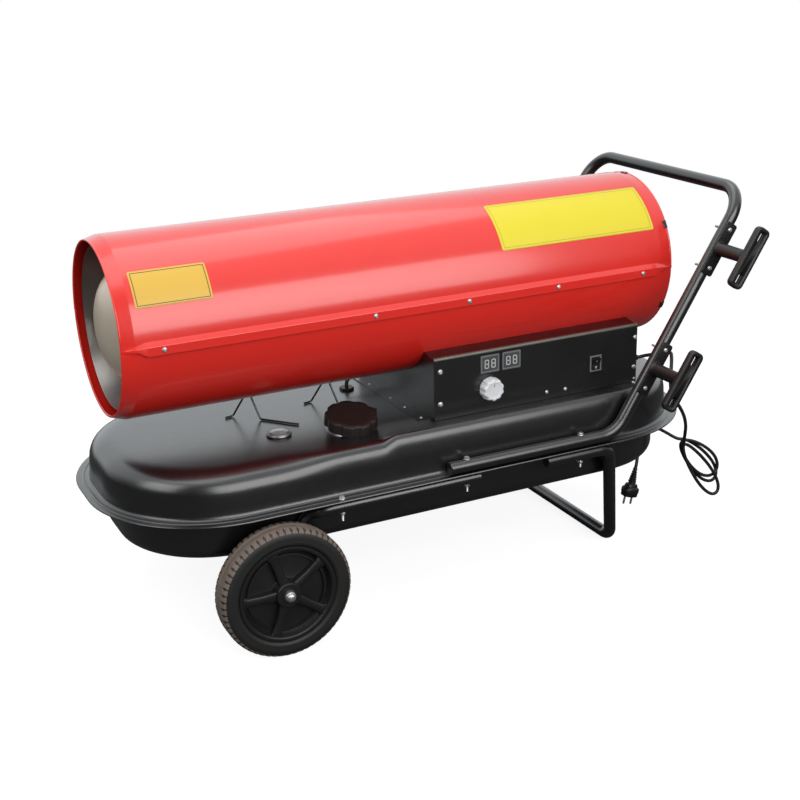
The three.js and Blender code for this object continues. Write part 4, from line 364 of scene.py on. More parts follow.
def smooth_route(points, steps):
    """A smooth line through given points, with a few steps between each pair."""
    p = [Vector(q) for q in points]
    p = [p[0] * 2 - p[1], *p, p[-1] * 2 - p[-2]]
    route = []
    for k in range(1, len(p) - 2):
        for s in range(steps):
            t = s / steps
            route.append(0.5 * ((2 * p[k]) + (p[k + 1] - p[k - 1]) * t
                                + (2 * p[k - 1] - 5 * p[k] + 4 * p[k + 1] - p[k + 2]) * t * t
                                + (3 * p[k] - p[k - 1] - 3 * p[k + 1] + p[k + 2]) * t ** 3))
    route.append(p[-2])
    return route


print("points in a bent right angle:", len(rounded([(0, 0, 0), (50, 0, 0), (50, 50, 0)], 20)))

# %% [markdown]
# ## The power cord
# The cord leaves a gland at the back of the control box, goes round the lower cord wrap and hangs down behind
# the machine, gathered into a small hank of three loops. From the hank a short tail carries the plug. The
# loops come from a formula, each a little further to the side than the last, so that no strand runs through
# another. The route is then spaced evenly and eased, because a real cord has no sharp corners.

# %% The cord's route
CORD_RADIUS = 3.6
GLAND_TIP = (1075.0, -150, 392)
LEAD = [(1092, -153, 394), (1106, -180, 403), (1096, -225, 419), (1072, -268, 427),
        (1046, -303, 370), (1078, -292, 328), (1118, -258, 288), (1152, -222, 246)]
HANK_AT = Vector((1198, -150, 177))
HANK_TURN = math.radians(-38.4)
HANK_LAYER = 8.2
HANK_LOOPS = [(168, 26, -0.03), (132, 33, 0.17), (150, 29, 0.07)]  # length, half width, swing
HANK_DRIFT = 2.6
LOOP_STEPS = 24
LOOP_TOP = 0.6  # share of the loop's width that is left at its upper end
TAIL = [(1168, -92, 202), (1150, -82, 178), (1132, -88, 148)]
PLUG_AT = Vector((1118, -100, 118))
PLUG_TILT = math.radians(14)
TOUCH = 0.3


def hank_route():
    points = []
    turn = Matrix.Rotation(HANK_TURN, 3, "Y")
    for loop, (length, half_width, swing) in enumerate(HANK_LOOPS):
        for k in range(LOOP_STEPS):
            t = (k + 0.5) / LOOP_STEPS
            angle = math.tau * t
            down = length * (1 - math.cos(angle)) / 2
            wide = -half_width * math.sin(angle) * (LOOP_TOP + (1 - LOOP_TOP) * down / length)
            run = wide * math.cos(swing) + down * math.sin(swing)
            drop = down * math.cos(swing) - wide * math.sin(swing)
            layer = (loop + t - len(HANK_LOOPS) / 2) * HANK_LAYER
            points.append(HANK_AT + turn @ Vector((run + HANK_DRIFT * (loop + t - 0.5), layer, -drop)))
    return points


hank = hank_route()
plug_axis = Vector((-math.sin(PLUG_TILT), 0, -math.cos(PLUG_TILT)))
start_out = hank[0] + (hank[0] - hank[1]).normalized() * 2 * CORD_RADIUS
end_out = hank[-1] + (hank[-1] - hank[-2]).normalized() * 2 * CORD_RADIUS
lead_out = (GLAND_TIP[0] + 2 * CORD_RADIUS, GLAND_TIP[1], GLAND_TIP[2])
cord_points = [Vector(GLAND_TIP), Vector(lead_out), *map(Vector, LEAD), start_out, *hank, end_out,
               *map(Vector, TAIL), PLUG_AT - plug_axis * 4 * CORD_RADIUS, PLUG_AT - plug_axis * TOUCH]
print("cord points:", len(cord_points))

# %% [markdown]
# A tube skinned along the route would do, but a curve object with a round bevel is the natural choice for a
# cord: its own line is the centre of the cord, so its length and its tightest bend can be measured. The
# helpers space the points evenly and ease the bends: each point moves a little towards the middle of its two
# neighbours, many times.

# %% The cord as a curve
CORD_STEP = 3.0
EASE_ROUNDS = 16


def even(points, step):
    """The same line with its points the same distance apart."""
    lengths = [0.0]
    for a, b in zip(points, points[1:]):
        lengths.append(lengths[-1] + (b - a).length)
    count = round(lengths[-1] / step)
    spread, k = [], 0
    for n in range(count + 1):
        along_it = lengths[-1] * n / count
        while k < len(points) - 2 and lengths[k + 1] < along_it:
            k += 1
        share = (along_it - lengths[k]) / (lengths[k + 1] - lengths[k])
        spread.append(points[k].lerp(points[k + 1], min(1.0, share)))
    return spread


def relaxed(points, rounds):
    """Eases tight bends: each round moves every point halfway to its neighbours' middle. Both ends stay."""
    now = points
    for _ in range(rounds):
        inner = [now[k] * 0.5 + (now[k - 1] + now[k + 1]) * 0.25 for k in range(3, len(now) - 3)]
        now = [*now[:3], *inner, *now[-3:]]
    return now


cord_curve = bpy.data.curves.new("power_cord", "CURVE")
cord_curve.dimensions = "3D"
cord_curve.bevel_depth = CORD_RADIUS * MM
cord_curve.bevel_resolution = 4
cord_curve.resolution_u = 4
cord_curve.use_fill_caps = True
spline = cord_curve.splines.new("POLY")
route = relaxed(even(smooth_route(cord_points, 3), CORD_STEP), EASE_ROUNDS)
spline.points.add(len(route) - 1)
for point, corner in zip(spline.points, route):
    point.co = (*at(*corner), 1)
cord_curve.materials.append(RUBBER)
power_cord = bpy.data.objects.new("power_cord", cord_curve)
bpy.context.scene.collection.objects.link(power_cord)
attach(power_cord, "chassis")
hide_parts("cord_lead", "cord_hank", "cord_tail")

# %% [markdown]
# The plug is a moulded body with a ribbed, tapering strain relief and two round pins. The relief and the pins
# are turned forms, as on a lathe. The body is not round, so it is a skin over rounded rings that are wider
# than thick, with a step where the fingers hold it. All of it goes with the cord.

# %% Plug
RELIEF = 34
PLUG_BODY = 30
PLUG_HALF = (19, 14.5)
PLUG_ROWS = [(0.5, 1), (0.66, 2.4), (0.74, 6), (0.76, 9), (0.93, 10.5), (1, 12.5), (1, 21), (0.94, 22.5),
             (0.94, 28.6), (0.88, 30)]  # share of the half width, height
PIN_RADIUS = 2.4
PIN_LENGTH = 19
PIN_SPACING = 19
relief_profile = [(CORD_RADIUS + 0.6, 0)]
for rib in range(6):
    base = 2 + rib * RELIEF / 6.3
    width = CORD_RADIUS + 1.4 + rib * 0.75
    relief_profile += [(width, base), (width, base + 3.0)]
    relief_profile += [(width - 1.4, base + 3.4), (width - 1.4, base + 5.0)]
relief_profile += [(8, RELIEF + 2), (8, RELIEF + 6)]
plug_relief = turned("plug_relief", relief_profile, PLUG_AT, plug_axis, BLACK_MOULDED, steps=40)
plug_turn = along(plug_axis)
plug_rings = []
for share, height in PLUG_ROWS:
    row = []
    for k in range(48):
        angle = math.tau * k / 48
        x, y = math.cos(angle), math.sin(angle)
        x, y = math.copysign(abs(x) ** 0.7, x), math.copysign(abs(y) ** 0.7, y)
        local = Vector((PLUG_HALF[0] * share * x, PLUG_HALF[1] * share * y, RELIEF + height))
        row.append(tuple(PLUG_AT + plug_turn @ local))
    plug_rings.append(row)
plug_body = piece("plug_body", *skin(plug_rings), BLACK_MOULDED)
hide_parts("plug")
across = along(plug_axis) @ Vector((1, 0, 0))
for number, offset in enumerate((-1, 1)):
    foot = PLUG_AT + plug_axis * (RELIEF + PLUG_BODY - 1) + across * offset * PIN_SPACING / 2
    pin_profile = [(PIN_RADIUS, 0), (PIN_RADIUS, PIN_LENGTH - 1), (PIN_RADIUS - 1, PIN_LENGTH + 1)]
    pin = turned(f"plug_pin_{number}", pin_profile, foot, plug_axis, ZINC, steps=16)
print("plug ends", round(min((plug_body.matrix_world @ v.co).z for v in plug_body.data.vertices), 3), "m up")

# %% [markdown]
# ## The shell
# Each half of the shell is one pressed sheet. Its section is half a circle that ends in a strip along each
# side: the upper strip stands out and hangs over a tab of the lower half. The two ends are drawn in to a
# slightly smaller rim. It could be a solid with its inside cut away, but a sheet is best made as a single
# surface, with its thickness added by a Solidify modifier, so that both faces always stay parallel.

# %% Sheet metal from rings
AXIS_Z = 579
AXIS = Vector((0, 0, AXIS_Z))


def sheet(name, rings, material, thick, outward_from, closed=False, edge=0.5, body="chassis", smooth=SHARP):
    """A sheet over rings; outward_from gives, for a point, the place that its outside faces away from."""
    count = len(rings[0])
    corners = [p for ring in rings for p in ring]
    faces = []
    for r in range(len(rings) - 1):
        for k in range(count if closed else count - 1):
            n = (k + 1) % count
            faces.append((r * count + k, r * count + n, (r + 1) * count + n, (r + 1) * count + k))
    middle = faces[len(faces) // 2]
    a, b, c = [Vector(corners[i]) for i in middle[:3]]
    normal = (b - a).cross(c - a)
    if closed:
        faces.append(tuple(reversed(range(count))))
    if normal.dot(a - Vector(outward_from(a))) < 0:
        faces = [tuple(reversed(f)) for f in faces]
    mesh = bpy.data.meshes.new(name)
    mesh.from_pydata([at(*p) for p in corners], [], faces)
    mesh.polygons.foreach_set("use_smooth", [True] * len(mesh.polygons))
    mesh.set_sharp_from_angle(angle=smooth)
    mesh.materials.append(material)
    made = bpy.data.objects.new(name, mesh)
    bpy.context.scene.collection.objects.link(made)
    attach(made, body)
    wall = made.modifiers.new("sheet", "SOLIDIFY")
    wall.thickness = thick * MM
    wall.offset = -1
    if edge > 0:
        bevel(made, edge)
    return made


print("the shell's axis is", AXIS_Z, "mm above the floor")

# %% [markdown]
# Along its length the shell is a cylinder with a short taper at each end. The seam strip doesn't reach the
# rims: on the real sheet it is pressed in gradually, so its step and its lip grow over a few millimetres.
# Three small functions of the place along the shell describe this.

# %% The shell along its length
SHELL_LENGTH = 1140
SHELL_RADIUS = 168
SHELL_SHEET = 1.6
OUTLET_RIM = 160.5
REAR_RIM = 166
RIM_TAPER = 25
SEAM_STEP = 7
SEAM_LIP = 11
SEAM_POINT = 6
SEAM_START = 28
SEAM_RUN_IN = 16
SEAM_KNEE = 13
SEAM_FACE = 5


def ease(value, start, end):
    t = min(max((value - start) / (end - start), 0), 1)
    return t * t * (3 - 2 * t)


def shell_radius(x):
    front = OUTLET_RIM + (SHELL_RADIUS - OUTLET_RIM) * min(x / RIM_TAPER, 1)
    rear = REAR_RIM + (SHELL_RADIUS - REAR_RIM) * min((SHELL_LENGTH - x) / RIM_TAPER, 1)
    return min(front, rear)


def rise(value, start, end):
    return min(max((value - start) / (end - start), 0), 1)


def lip_share(x):
    return rise(min(x, SHELL_LENGTH - x), SEAM_START, SEAM_START + SEAM_RUN_IN)


def step_share(x):
    return rise(min(x, SHELL_LENGTH - x), SEAM_POINT, SEAM_START + SEAM_RUN_IN)


print("radius at the rim and in the middle:", shell_radius(0), shell_radius(SHELL_LENGTH / 2), "mm")

# %% [markdown]
# Across, each half is an arc between two side strips. Both strips are drawn as a few points and mirrored, so
# near and far side are the same. The upper half's strip hangs outside the lower half's tab, with a small gap.

# %% The shell's cross-section
ARC_STEPS = 96


def arc_angles(start):
    """Even angles from one side strip to the other."""
    return [start + (math.pi - 2 * start) * k / ARC_STEPS for k in range(ARC_STEPS + 1)]


def half_section(x, upper):
    radius = shell_radius(x)
    share = step_share(x)
    step = 1 + (SEAM_STEP - 1) * share
    lip = 2 + (SEAM_LIP - 2) * lip_share(x)
    face = 1.5 + (SEAM_FACE - 1.5) * share
    if upper:
        start = math.asin((5 + (SEAM_KNEE - 5) * share) / radius)
        arc = [(-radius * math.cos(a), radius * math.sin(a)) for a in arc_angles(start)]
        side_points = [(-radius - step, -lip), (-radius - step, -lip + 1), (-radius - step, face - 0.6),
                       (-radius - step * 0.97, face),
                       (-radius - step * 0.5, face + (SEAM_KNEE - SEAM_FACE) / 2 * share)]
        return side_points + arc + [(-y, z) for y, z in reversed(side_points)]
    tab = radius + step - SHELL_SHEET - 0.3
    start = math.asin(8 / radius)
    arc = [(-radius * math.cos(a), -radius * math.sin(a)) for a in arc_angles(start)]
    side_points = [(-tab, 3), (-tab, 1), (-tab, -2), (-radius - (tab - radius) * 0.5, -5)]
    return side_points + arc + [(-y, z) for y, z in reversed(side_points)]


print("points across one half:", len(half_section(SHELL_LENGTH / 2, True)))

# %% [markdown]
# Rings of that section, set close together near the rims and further apart in the middle, give each half as
# one skin. The close rings are needed only where the form changes, so the mesh stays small.

# %% The two halves of the shell
def shell_stations():
    ends = [0, 1.2, 4, SEAM_POINT, 12, 18, RIM_TAPER - 1, RIM_TAPER, SEAM_START]
    run_in = [SEAM_START + SEAM_RUN_IN * k / 6 for k in range(1, 7)]
    front = ends + run_in
    middle_run = [60 + 1020 * k / 34 for k in range(35)]
    return front + middle_run + [SHELL_LENGTH - x for x in reversed(front)]


def on_axis(p):
    return (p.x, 0, AXIS_Z)


for half in ("upper", "lower"):
    rings = []
    for x in shell_stations():
        rings.append([(x, y, AXIS_Z + z) for y, z in half_section(x, half == "upper")])
    shell = sheet(f"{half}_shell_sheet", rings, RED, SHELL_SHEET, on_axis, edge=0.6, smooth=math.radians(18))
    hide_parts(f"{half}_shell")
print("shell length:", round((shell_high - shell_low).x, 3), "m")

# %% [markdown]
# The rims of the real shell are hemmed: the sheet is folded back on itself, which leaves a smooth round edge.
# The fold could be part of the section, but a thin flattened ring laid on each rim gives the same edge with
# fewer rings. Its upper half stands out by one sheet, as the upper half of the shell does.

# %% Hemmed rims
def ring(name, radius, x, wire, material, body="chassis", steps=160, sides=12, flatten=1.0, step=0.0):
    """A ring of wire about the shell's axis; its upper half may stand out by a step."""
    rings = []
    for k in range(steps):
        angle = math.tau * (k + 0.5) / steps
        reach = radius + (step if k < steps / 2 else 0)
        centre = Vector((x, reach * math.cos(angle), AXIS_Z + reach * math.sin(angle)))
        out = Vector((0, math.cos(angle), math.sin(angle)))
        rings.append([
            tuple(centre + out * wire * math.cos(math.tau * s / sides) * flatten
                  + Vector((wire * math.sin(math.tau * s / sides), 0, 0)))
            for s in range(sides)
        ])
    return piece(name, *skin(rings, wrap=True), material, body, smooth=math.radians(60))


HEM_FROM_END = 2.2
hems = (("outlet_hem", OUTLET_RIM - 0.9, HEM_FROM_END),
        ("rear_hem", REAR_RIM - 0.9, SHELL_LENGTH - HEM_FROM_END))
for name, radius, x in hems:
    hem = ring(name, radius - 1.1, x, 2.1, RED, flatten=0.9, step=1.5)
print("hemmed rims:", len(hems))

# %% [markdown]
# ## Screws and bolts
# The machine is held together by dozens of small zinc-plated screws with domed heads. A bump in a material
# could hint at the cross recess, but it would not be part of the mesh. One screw is therefore modelled with a
# real recess, cut by a boolean, and every other one is a copy of its mesh, so the whole set costs little.

# %% One screw, many copies
def cut_out(target, *cutters):
    """Cuts the cutters out of the target and removes them."""
    for cutter in cutters:
        modifier = target.modifiers.new("cut", "BOOLEAN")
        modifier.operation = "DIFFERENCE"
        modifier.solver = "EXACT"
        modifier.object = cutter
    bpy.context.view_layer.update()
    graph = bpy.context.evaluated_depsgraph_get()
    mesh = bpy.data.meshes.new_from_object(target.evaluated_get(graph))
    target.modifiers.clear()
    target.data = mesh
    for cutter in cutters:
        bpy.data.objects.remove(cutter)
    return target


def block(name, low, high, material, body="chassis", turn=None, about=(0, 0, 0)):
    (x0, y0, z0), (x1, y1, z1) = low, high
    corners = [(x, y, z) for x in (x0, x1) for y in (y0, y1) for z in (z0, z1)]
    if turn is not None:
        corners = [tuple(Vector(about) + turn @ (Vector(c) - Vector(about))) for c in corners]
    faces = [(0, 1, 3, 2), (4, 6, 7, 5), (0, 4, 5, 1), (2, 3, 7, 6), (0, 2, 6, 4), (1, 5, 7, 3)]
    return piece(name, corners, faces, material, body)


SCREW_RADIUS = 4.6
SCREW_RISE = 2.8
dome = [(SCREW_RADIUS, -0.6), (SCREW_RADIUS, 0.2)]
head_angles = [math.pi * k / 18 for k in range(1, 9)]
dome += [(SCREW_RADIUS * math.cos(a), 0.2 + SCREW_RISE * math.sin(a)) for a in head_angles]
dome.append((0.01, 0.2 + SCREW_RISE))
pattern = turned("screw_pattern", dome, (0, 0, 0), (0, 0, 1), ZINC, steps=32)
cross = [block(f"recess_{k}", low, high, ZINC) for k, (low, high) in enumerate((
    ((-0.55, -2.3, 1.5), (0.55, 2.3, 9)), ((-2.3, -0.55, 1.5), (2.3, 0.55, 9)),
))]
cut_out(pattern, *cross)
screw_mesh = pattern.data
screw_mesh.transform(Matrix.Translation(-at(0, 0, 0)))
bpy.data.objects.remove(pattern)


def screw(name, place, axis, size=1.0, spin=0.4, material=None, body="chassis"):
    mesh = screw_mesh.copy()
    turn = along(axis) @ Matrix.Rotation(spin, 3, "Z") @ Matrix.Scale(size, 3)
    mesh.transform(Matrix.Translation(at(*place)) @ turn.to_4x4())
    made = bpy.data.objects.new(name, mesh)
    bpy.context.scene.collection.objects.link(made)
    if material is not None:
        mesh.materials[0] = material
    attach(made, body)
    return made


SEAM_SCREWS = [73, 472, 667, 865, 1064]
for number, x in enumerate(SEAM_SCREWS):
    for side_name, side_sign in (("near", -1), ("far", 1)):
        place = (x, side_sign * (SHELL_RADIUS + SEAM_STEP), AXIS_Z - 2.5)
        screw(f"seam_screw_{side_name}_{number}", place, (0, side_sign, 0), spin=0.5 + number)
print("seam screws:", 2 * len(SEAM_SCREWS))

# %% [markdown]
# ## Plates on the shell
# Two thin plates are glued to the shell's near side, an amber one near the outlet and a large yellow one at
# the back. Each is plain, with rounded corners and a thin border line. A flat plate could be wrapped with a
# modifier, but angles measured round the shell's axis bend it exactly, and its border strips with it.

# %% A plate bent to the shell
def bent_plate(name, x0, x1, low_angle, high_angle, rise, material, radius=3.0):
    """A thin plate on the shell's near side; angles are measured up from the horizontal."""
    rings = []
    corner = math.degrees(radius / SHELL_RADIUS)
    steps = 36
    for k in range(steps + 1):
        angle = low_angle + (high_angle - low_angle) * k / steps
        near_end = min(angle - low_angle, high_angle - angle)
        pull = 0.0
        if near_end < corner:
            pull = radius * (1 - math.sqrt(max(0.0, 1 - (1 - near_end / corner) ** 2)))
        a = math.radians(angle)
        out = SHELL_RADIUS + rise
        row = [(x, -out * math.cos(a), AXIS_Z + out * math.sin(a)) for x in (
            x0 + pull, x0 + pull + 0.5, (x0 + x1) / 2, x1 - pull - 0.5, x1 - pull)]
        rings.append(row)
    made = sheet(name, rings, material, 0.35, on_axis, edge=0.0)
    return made


FRONT_PLATE = (35, 173, 24.4, 47.8)  # start and end along the shell, lower and upper angle
REAR_PLATE = (754, 1105, 27.5, 64)
bent_plate("front_plate", *FRONT_PLATE, 0.45, AMBER)
bent_plate("rear_plate", *REAR_PLATE, 0.45, YELLOW)


def border(name, x0, x1, low_angle, high_angle, inset, width, material):
    """Four thin strips that frame a plate."""
    turn = math.degrees(1 / SHELL_RADIUS)
    x0, x1 = x0 + inset, x1 - inset
    low_angle, high_angle = low_angle + inset * turn, high_angle - inset * turn
    bent_plate(f"{name}_low", x0, x1, low_angle, low_angle + width * turn, 0.62, material, 0.1)
    bent_plate(f"{name}_high", x0, x1, high_angle - width * turn, high_angle, 0.62, material, 0.1)
    bent_plate(f"{name}_front", x0, x0 + width, low_angle, high_angle, 0.62, material, 0.1)
    bent_plate(f"{name}_rear", x1 - width, x1, low_angle, high_angle, 0.62, material, 0.1)


border("front_border", *FRONT_PLATE, 3.5, 1.2, DARK_LINE)
border("rear_border", *REAR_PLATE, 5, 1.0, FAINT_LINE)
print("plates on the shell: 2, border strips:", 8)

# %% [markdown]
# ## Liner and dome
# Inside the outlet sits a stainless liner, and in front of it a domed disc that spreads the hot air. The dome
# could be a squashed sphere, but a turned profile gives one sheet's thickness and a rolled lip. It has the
# straw tint that heat leaves on stainless steel, while the liner is darker with soot.

# %% Liner and dome
def turned_on_axis(name, profile, material, body="chassis", steps=128, smooth=SHARP):
    """A form turned about the shell's axis; profile rows are (radius, x)."""
    return turned(name, profile, AXIS, (1, 0, 0), material, body, steps, smooth)


liner = turned_on_axis("liner", [
    (146.8, 15), (146.8, 654), (148.2, 654), (148.2, 15), (147.9, 14.4), (147.1, 14.4), (146.8, 15),
], LINER_STEEL)
DOME_RADIUS = 105
DOME_BULGE = 60
DOME_RIM_X = 62
DOME_SHEET = 1.5
quarter = [math.pi * k / 36 for k in range(1, 19)]
dome_rows = [(DOME_RADIUS * math.sin(a), DOME_RIM_X - DOME_BULGE * math.cos(a)) for a in quarter]
dome_back = [((DOME_RADIUS - DOME_SHEET) * math.sin(a), DOME_RIM_X - (DOME_BULGE - DOME_SHEET) * math.cos(a))
             for a in reversed(quarter)]
dome_lip = [(DOME_RADIUS + 0.6, DOME_RIM_X + 2), (DOME_RADIUS - 0.4, DOME_RIM_X + 2.6),
            (DOME_RADIUS - 1.5, DOME_RIM_X + 1.5)]
dome_piece = turned_on_axis("dome", [(0.01, DOME_RIM_X - DOME_BULGE), *dome_rows, *dome_lip, *dome_back,
                                     (0.01, DOME_RIM_X - DOME_BULGE + DOME_SHEET)], STAINLESS, steps=96)
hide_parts("outlet_dome")
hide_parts("combustion_chamber")
print("dome:", 2 * DOME_RADIUS, "mm across,", DOME_BULGE, "mm deep")

# %% [markdown]
# Three flat straps hold the dome in the liner, and eight short feet hold the liner in the shell. They are cut
# from strip, so plain bevelled blocks, turned about the shell's axis, are all they need.

# %% Straps and feet
for number, degrees in enumerate((90, 210, 330)):
    turn = Matrix.Rotation(math.radians(degrees - 90), 3, "X")
    strap = block(f"dome_strap_{number}", (56.5, -10, AXIS_Z + 96), (58.5, 10, AXIS_Z + 145.3), STAINLESS,
                  turn=turn, about=AXIS)
    bevel(strap, 0.6)
    foot = block(f"dome_strap_foot_{number}", (44, -10, AXIS_Z + 144.2), (58.5, 10, AXIS_Z + 145.7),
                 STAINLESS, turn=turn, about=AXIS)
    bevel(foot, 0.5)
for number in range(8):
    angle = math.pi / 4 + number * math.pi / 2
    x = (84, 584)[number // 4]
    turn = Matrix.Rotation(angle - math.pi / 2, 3, "X")
    foot = block(f"liner_foot_{number}", (x - 8, -8, AXIS_Z + 147.2), (x + 8, 8, AXIS_Z + 165.6), STAINLESS,
                 turn=turn, about=AXIS)
    bevel(foot, 0.8)
print("straps under the dome: 3, feet round the liner:", 8)

# %% [markdown]
# ## Fuel tank
# The tank is two deep-drawn halves joined at a flange. Seen from above it is a long shape with generously
# rounded ends. It could be a bevelled box, but then the flange, the shoulder and the wall would not share one
# outline. Here every ring follows the flange's outline, drawn in by an inset.

# %% The tank's outline
TANK_X0 = -53.6
TANK_X1 = TANK_X0 + 1265.9
TANK_HALF = 268
TANK_END = 237.6
FLANGE_Z = 270.2
FLANGE_SHEET = 1.6
TANK_TOP = 350
TANK_FLOOR = 178
SHEET_OF_HALVES = 1.5


def tank_ring(inset, height, corner_steps=26, edge_steps=64):
    straight = (TANK_X0 + TANK_END, TANK_X1 - TANK_END)
    half = TANK_HALF - TANK_END
    points = []

    def push(base_x, base_y, angle):
        edge_x = base_x + TANK_END * math.cos(angle)
        edge_y = base_y + TANK_END * math.sin(angle)
        s = inset(edge_x)
        points.append((edge_x - s * math.cos(angle), edge_y - s * math.sin(angle), height(edge_x)))

    def corner(base_x, base_y, start):
        for k in range(corner_steps + 1):
            push(base_x, base_y, start + math.pi / 2 * k / corner_steps)

    def edge(start, end, base_y, angle):
        for k in range(1, edge_steps):
            push(start + (end - start) * k / edge_steps, base_y, angle)

    corner(straight[1], half, 0)
    edge(straight[1], straight[0], half, math.pi / 2)
    corner(straight[0], half, math.pi / 2)
    corner(straight[0], -half, math.pi)
    edge(straight[0], straight[1], -half, -math.pi / 2)
    corner(straight[1], -half, -math.pi / 2)
    return points


print("outline of the flange:", len(tank_ring(lambda x: 0, lambda x: FLANGE_Z)), "points")

# %% [markdown]
# The upper half is a deep-drawn sheet. On the real tank its shoulder is wide at the front and narrower beside
# the control box, and a ridge stands a little above the top to carry the box. A subdivision surface could
# round it, but it would be hard to steer. Instead, each ring has an inset and a height that are functions of
# the place along the tank, so the shoulder, the ridge and the beaded flange all come from three short tables.

# %% Shoulder and ridge
RIDGE = 11
WALL_INSET = 28


def ridge_share(x):
    return ease(x, 452, 480) * (1 - ease(x, 1035, 1075))


def shoulder_run(x):
    return 83 + (37 - 83) * ease(x, 240, 370)


# share of the shoulder's run, drop below the top, share of the ridge
WALL_ROWS = [(1, 0, 0), (0.55, 1.2, 0.85), (0.3, 6, 1), (0.13, 15, 0.8), (0.03, 30, 0.2), (0, 48, 0)]


def wall_row(t):
    """A smooth line through the six rows that describe the shoulder."""
    last = len(WALL_ROWS) - 1
    k = min(int(t), last - 1)
    u = t - k
    rows = [WALL_ROWS[max(k - 1, 0)], WALL_ROWS[k], WALL_ROWS[k + 1], WALL_ROWS[min(k + 2, last)]]
    result = []
    for a, b, c, d in zip(*rows):
        square = (2 * a - 5 * b + 4 * c - d) * u * u
        cube = (3 * b - a - 3 * c + d) * u ** 3
        result.append(0.5 * (2 * b + (c - a) * u + square + cube))
    return max(result[0], 0), result[1], max(result[2], 0)


print("shoulder:", shoulder_run(0), "mm wide at the front,", shoulder_run(800), "mm beside the box")

# %% [markdown]
# With these the upper half is one skin of rings: flat at the top, down the shoulder and the wall, and out
# along the flange, where a raised bead stiffens the sheet. Solidify gives the sheet its thickness.

# %% The tank's upper half
upper_rings = []
for middle_inset in (225, 170, 140):
    upper_rings.append(tank_ring(lambda x, m=middle_inset: m, lambda x: TANK_TOP))
for k in range(26):
    run, drop, ridge = wall_row(5 * k / 25)
    upper_rings.append(tank_ring(
        lambda x, r=run: WALL_INSET + r * shoulder_run(x),
        lambda x, d=drop, g=ridge: TANK_TOP - d + g * RIDGE * ridge_share(x),
    ))
FLANGE_ROWS = [(27.2, 290), (26.4, 279), (25.4, 274), (23.6, 271.4), (21, 270.5), (17.5, FLANGE_Z),
               (16.2, FLANGE_Z), (15.2, 271.3), (13.4, 271.8), (11.6, 271.3), (10.6, FLANGE_Z),
               (2.4, FLANGE_Z), (0.6, 269.7), (0.0, 268.6)]  # inset, height
for inset_value, z in FLANGE_ROWS:
    upper_rings.append(tank_ring(lambda x, i=inset_value: i, lambda x, h=z: h))
tank_upper_piece = sheet("tank_upper_sheet", upper_rings, BLACK, SHEET_OF_HALVES, lambda p: (p.x, 0, 200),
                         closed=True, edge=0)
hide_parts("tank_upper")
print("rings of the upper half:", len(upper_rings))

# %% [markdown]
# The lower half is a plain deep tray: a flat floor, a rounded edge all round, upright walls and a narrow
# flange that meets the upper one. Its rings come from the same outline, so the two flanges fit each other
# exactly.

# %% The tank's lower half
TRAY_INSET = 52
TRAY_EDGE = 24
quarter_turn = [math.pi / 2 * k / 10 for k in range(11)]
lower_rows = [(225, TANK_FLOOR), (150, TANK_FLOOR), (TRAY_INSET + TRAY_EDGE, TANK_FLOOR)]
lower_rows += [(TRAY_INSET + TRAY_EDGE * (1 - math.sin(a)), TANK_FLOOR + TRAY_EDGE * (1 - math.cos(a)))
               for a in quarter_turn]
lower_rows += [(52, 240), (51.8, 258), (51, 263), (49, 265.8), (46, 266.7), (2, 266.7), (0.4, 267.1),
               (0, 268.3)]
lower_rings = [tank_ring(lambda x, i=i: i, lambda x, h=z: h, edge_steps=20) for i, z in lower_rows]
tank_lower_piece = sheet("tank_lower_sheet", lower_rings, BLACK, SHEET_OF_HALVES, lambda p: (p.x, 0, 300),
                         closed=True, edge=0)
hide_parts("tank_lower")
print("rings of the lower half:", len(lower_rings))

# %% [markdown]
# ## Filler, cap and gauge
# The filler stands on the front shoulder and leans towards the user. Its cap is a moulding with nine finger
# grips. They could be cut with nine booleans, but it is simpler to press the radius of a turned form in at
# nine places. The same helper makes the thermostat's knob later.

# %% Cap with finger grips
FILLER_AT = Vector((434, -125, TANK_TOP))
GAUGE_PLACE = (302, -91)
FILLER_TILT = math.radians(13)
filler_axis = Vector((0, -math.sin(FILLER_TILT), math.cos(FILLER_TILT)))


def gripped(name, profile, centre, axis, grips, depth, width, material, body, steps=144, spin=0.0):
    """A turned form; rows are (radius, height, share of the grip's depth)."""
    turn = along(axis)
    rings = []
    for radius, height, share in profile:
        row = []
        for k in range(steps):
            angle = math.tau * k / steps
            phase = (angle * grips / math.tau) % 1 - 0.5
            pressed = share * depth * math.exp(-((phase * math.tau / grips * radius) / width) ** 4)
            r = radius - pressed
            corner = turn @ Vector((r * math.cos(angle + spin), r * math.sin(angle + spin), height))
            row.append(tuple(Vector(centre) + corner))
        rings.append(row)
    return piece(name, *skin(rings), material, body)


print("the filler stands at", tuple(FILLER_AT), "mm")

# %% [markdown]
# The neck, the gauge and the fuel pickup pass through the tank's upper half. Openings left in the rings would
# bend the smooth sheet around them, so each one is cut afterwards with a boolean.

# %% Openings in the tank
hole = turned("hole", [(45.3, -40), (45.3, 40)], FILLER_AT, filler_axis, BLACK, steps=72)
gauge_hole = turned("gauge_hole", [(13.4, 300), (13.4, 400)], (*GAUGE_PLACE, 0), (0, 0, 1), BLACK, steps=40)
pickup_hole = turned("pickup_hole", [(4.4, 300), (4.4, 400)], (520, 82, 0), (0, 0, 1), BLACK, steps=20)
cut_out(tank_upper_piece, hole, gauge_hole, pickup_hole)
tank_upper_piece.data.set_sharp_from_angle(angle=SHARP)
print("openings cut in the tank:", 3)

# %% [markdown]
# The neck is a zinc-plated collar in the opening, with a short upright tube inside it that the cap closes.
# Both are turned about the leaning axis. The cap is a brown moulding, and it rides on its own body, so that
# it can be turned and lifted off.

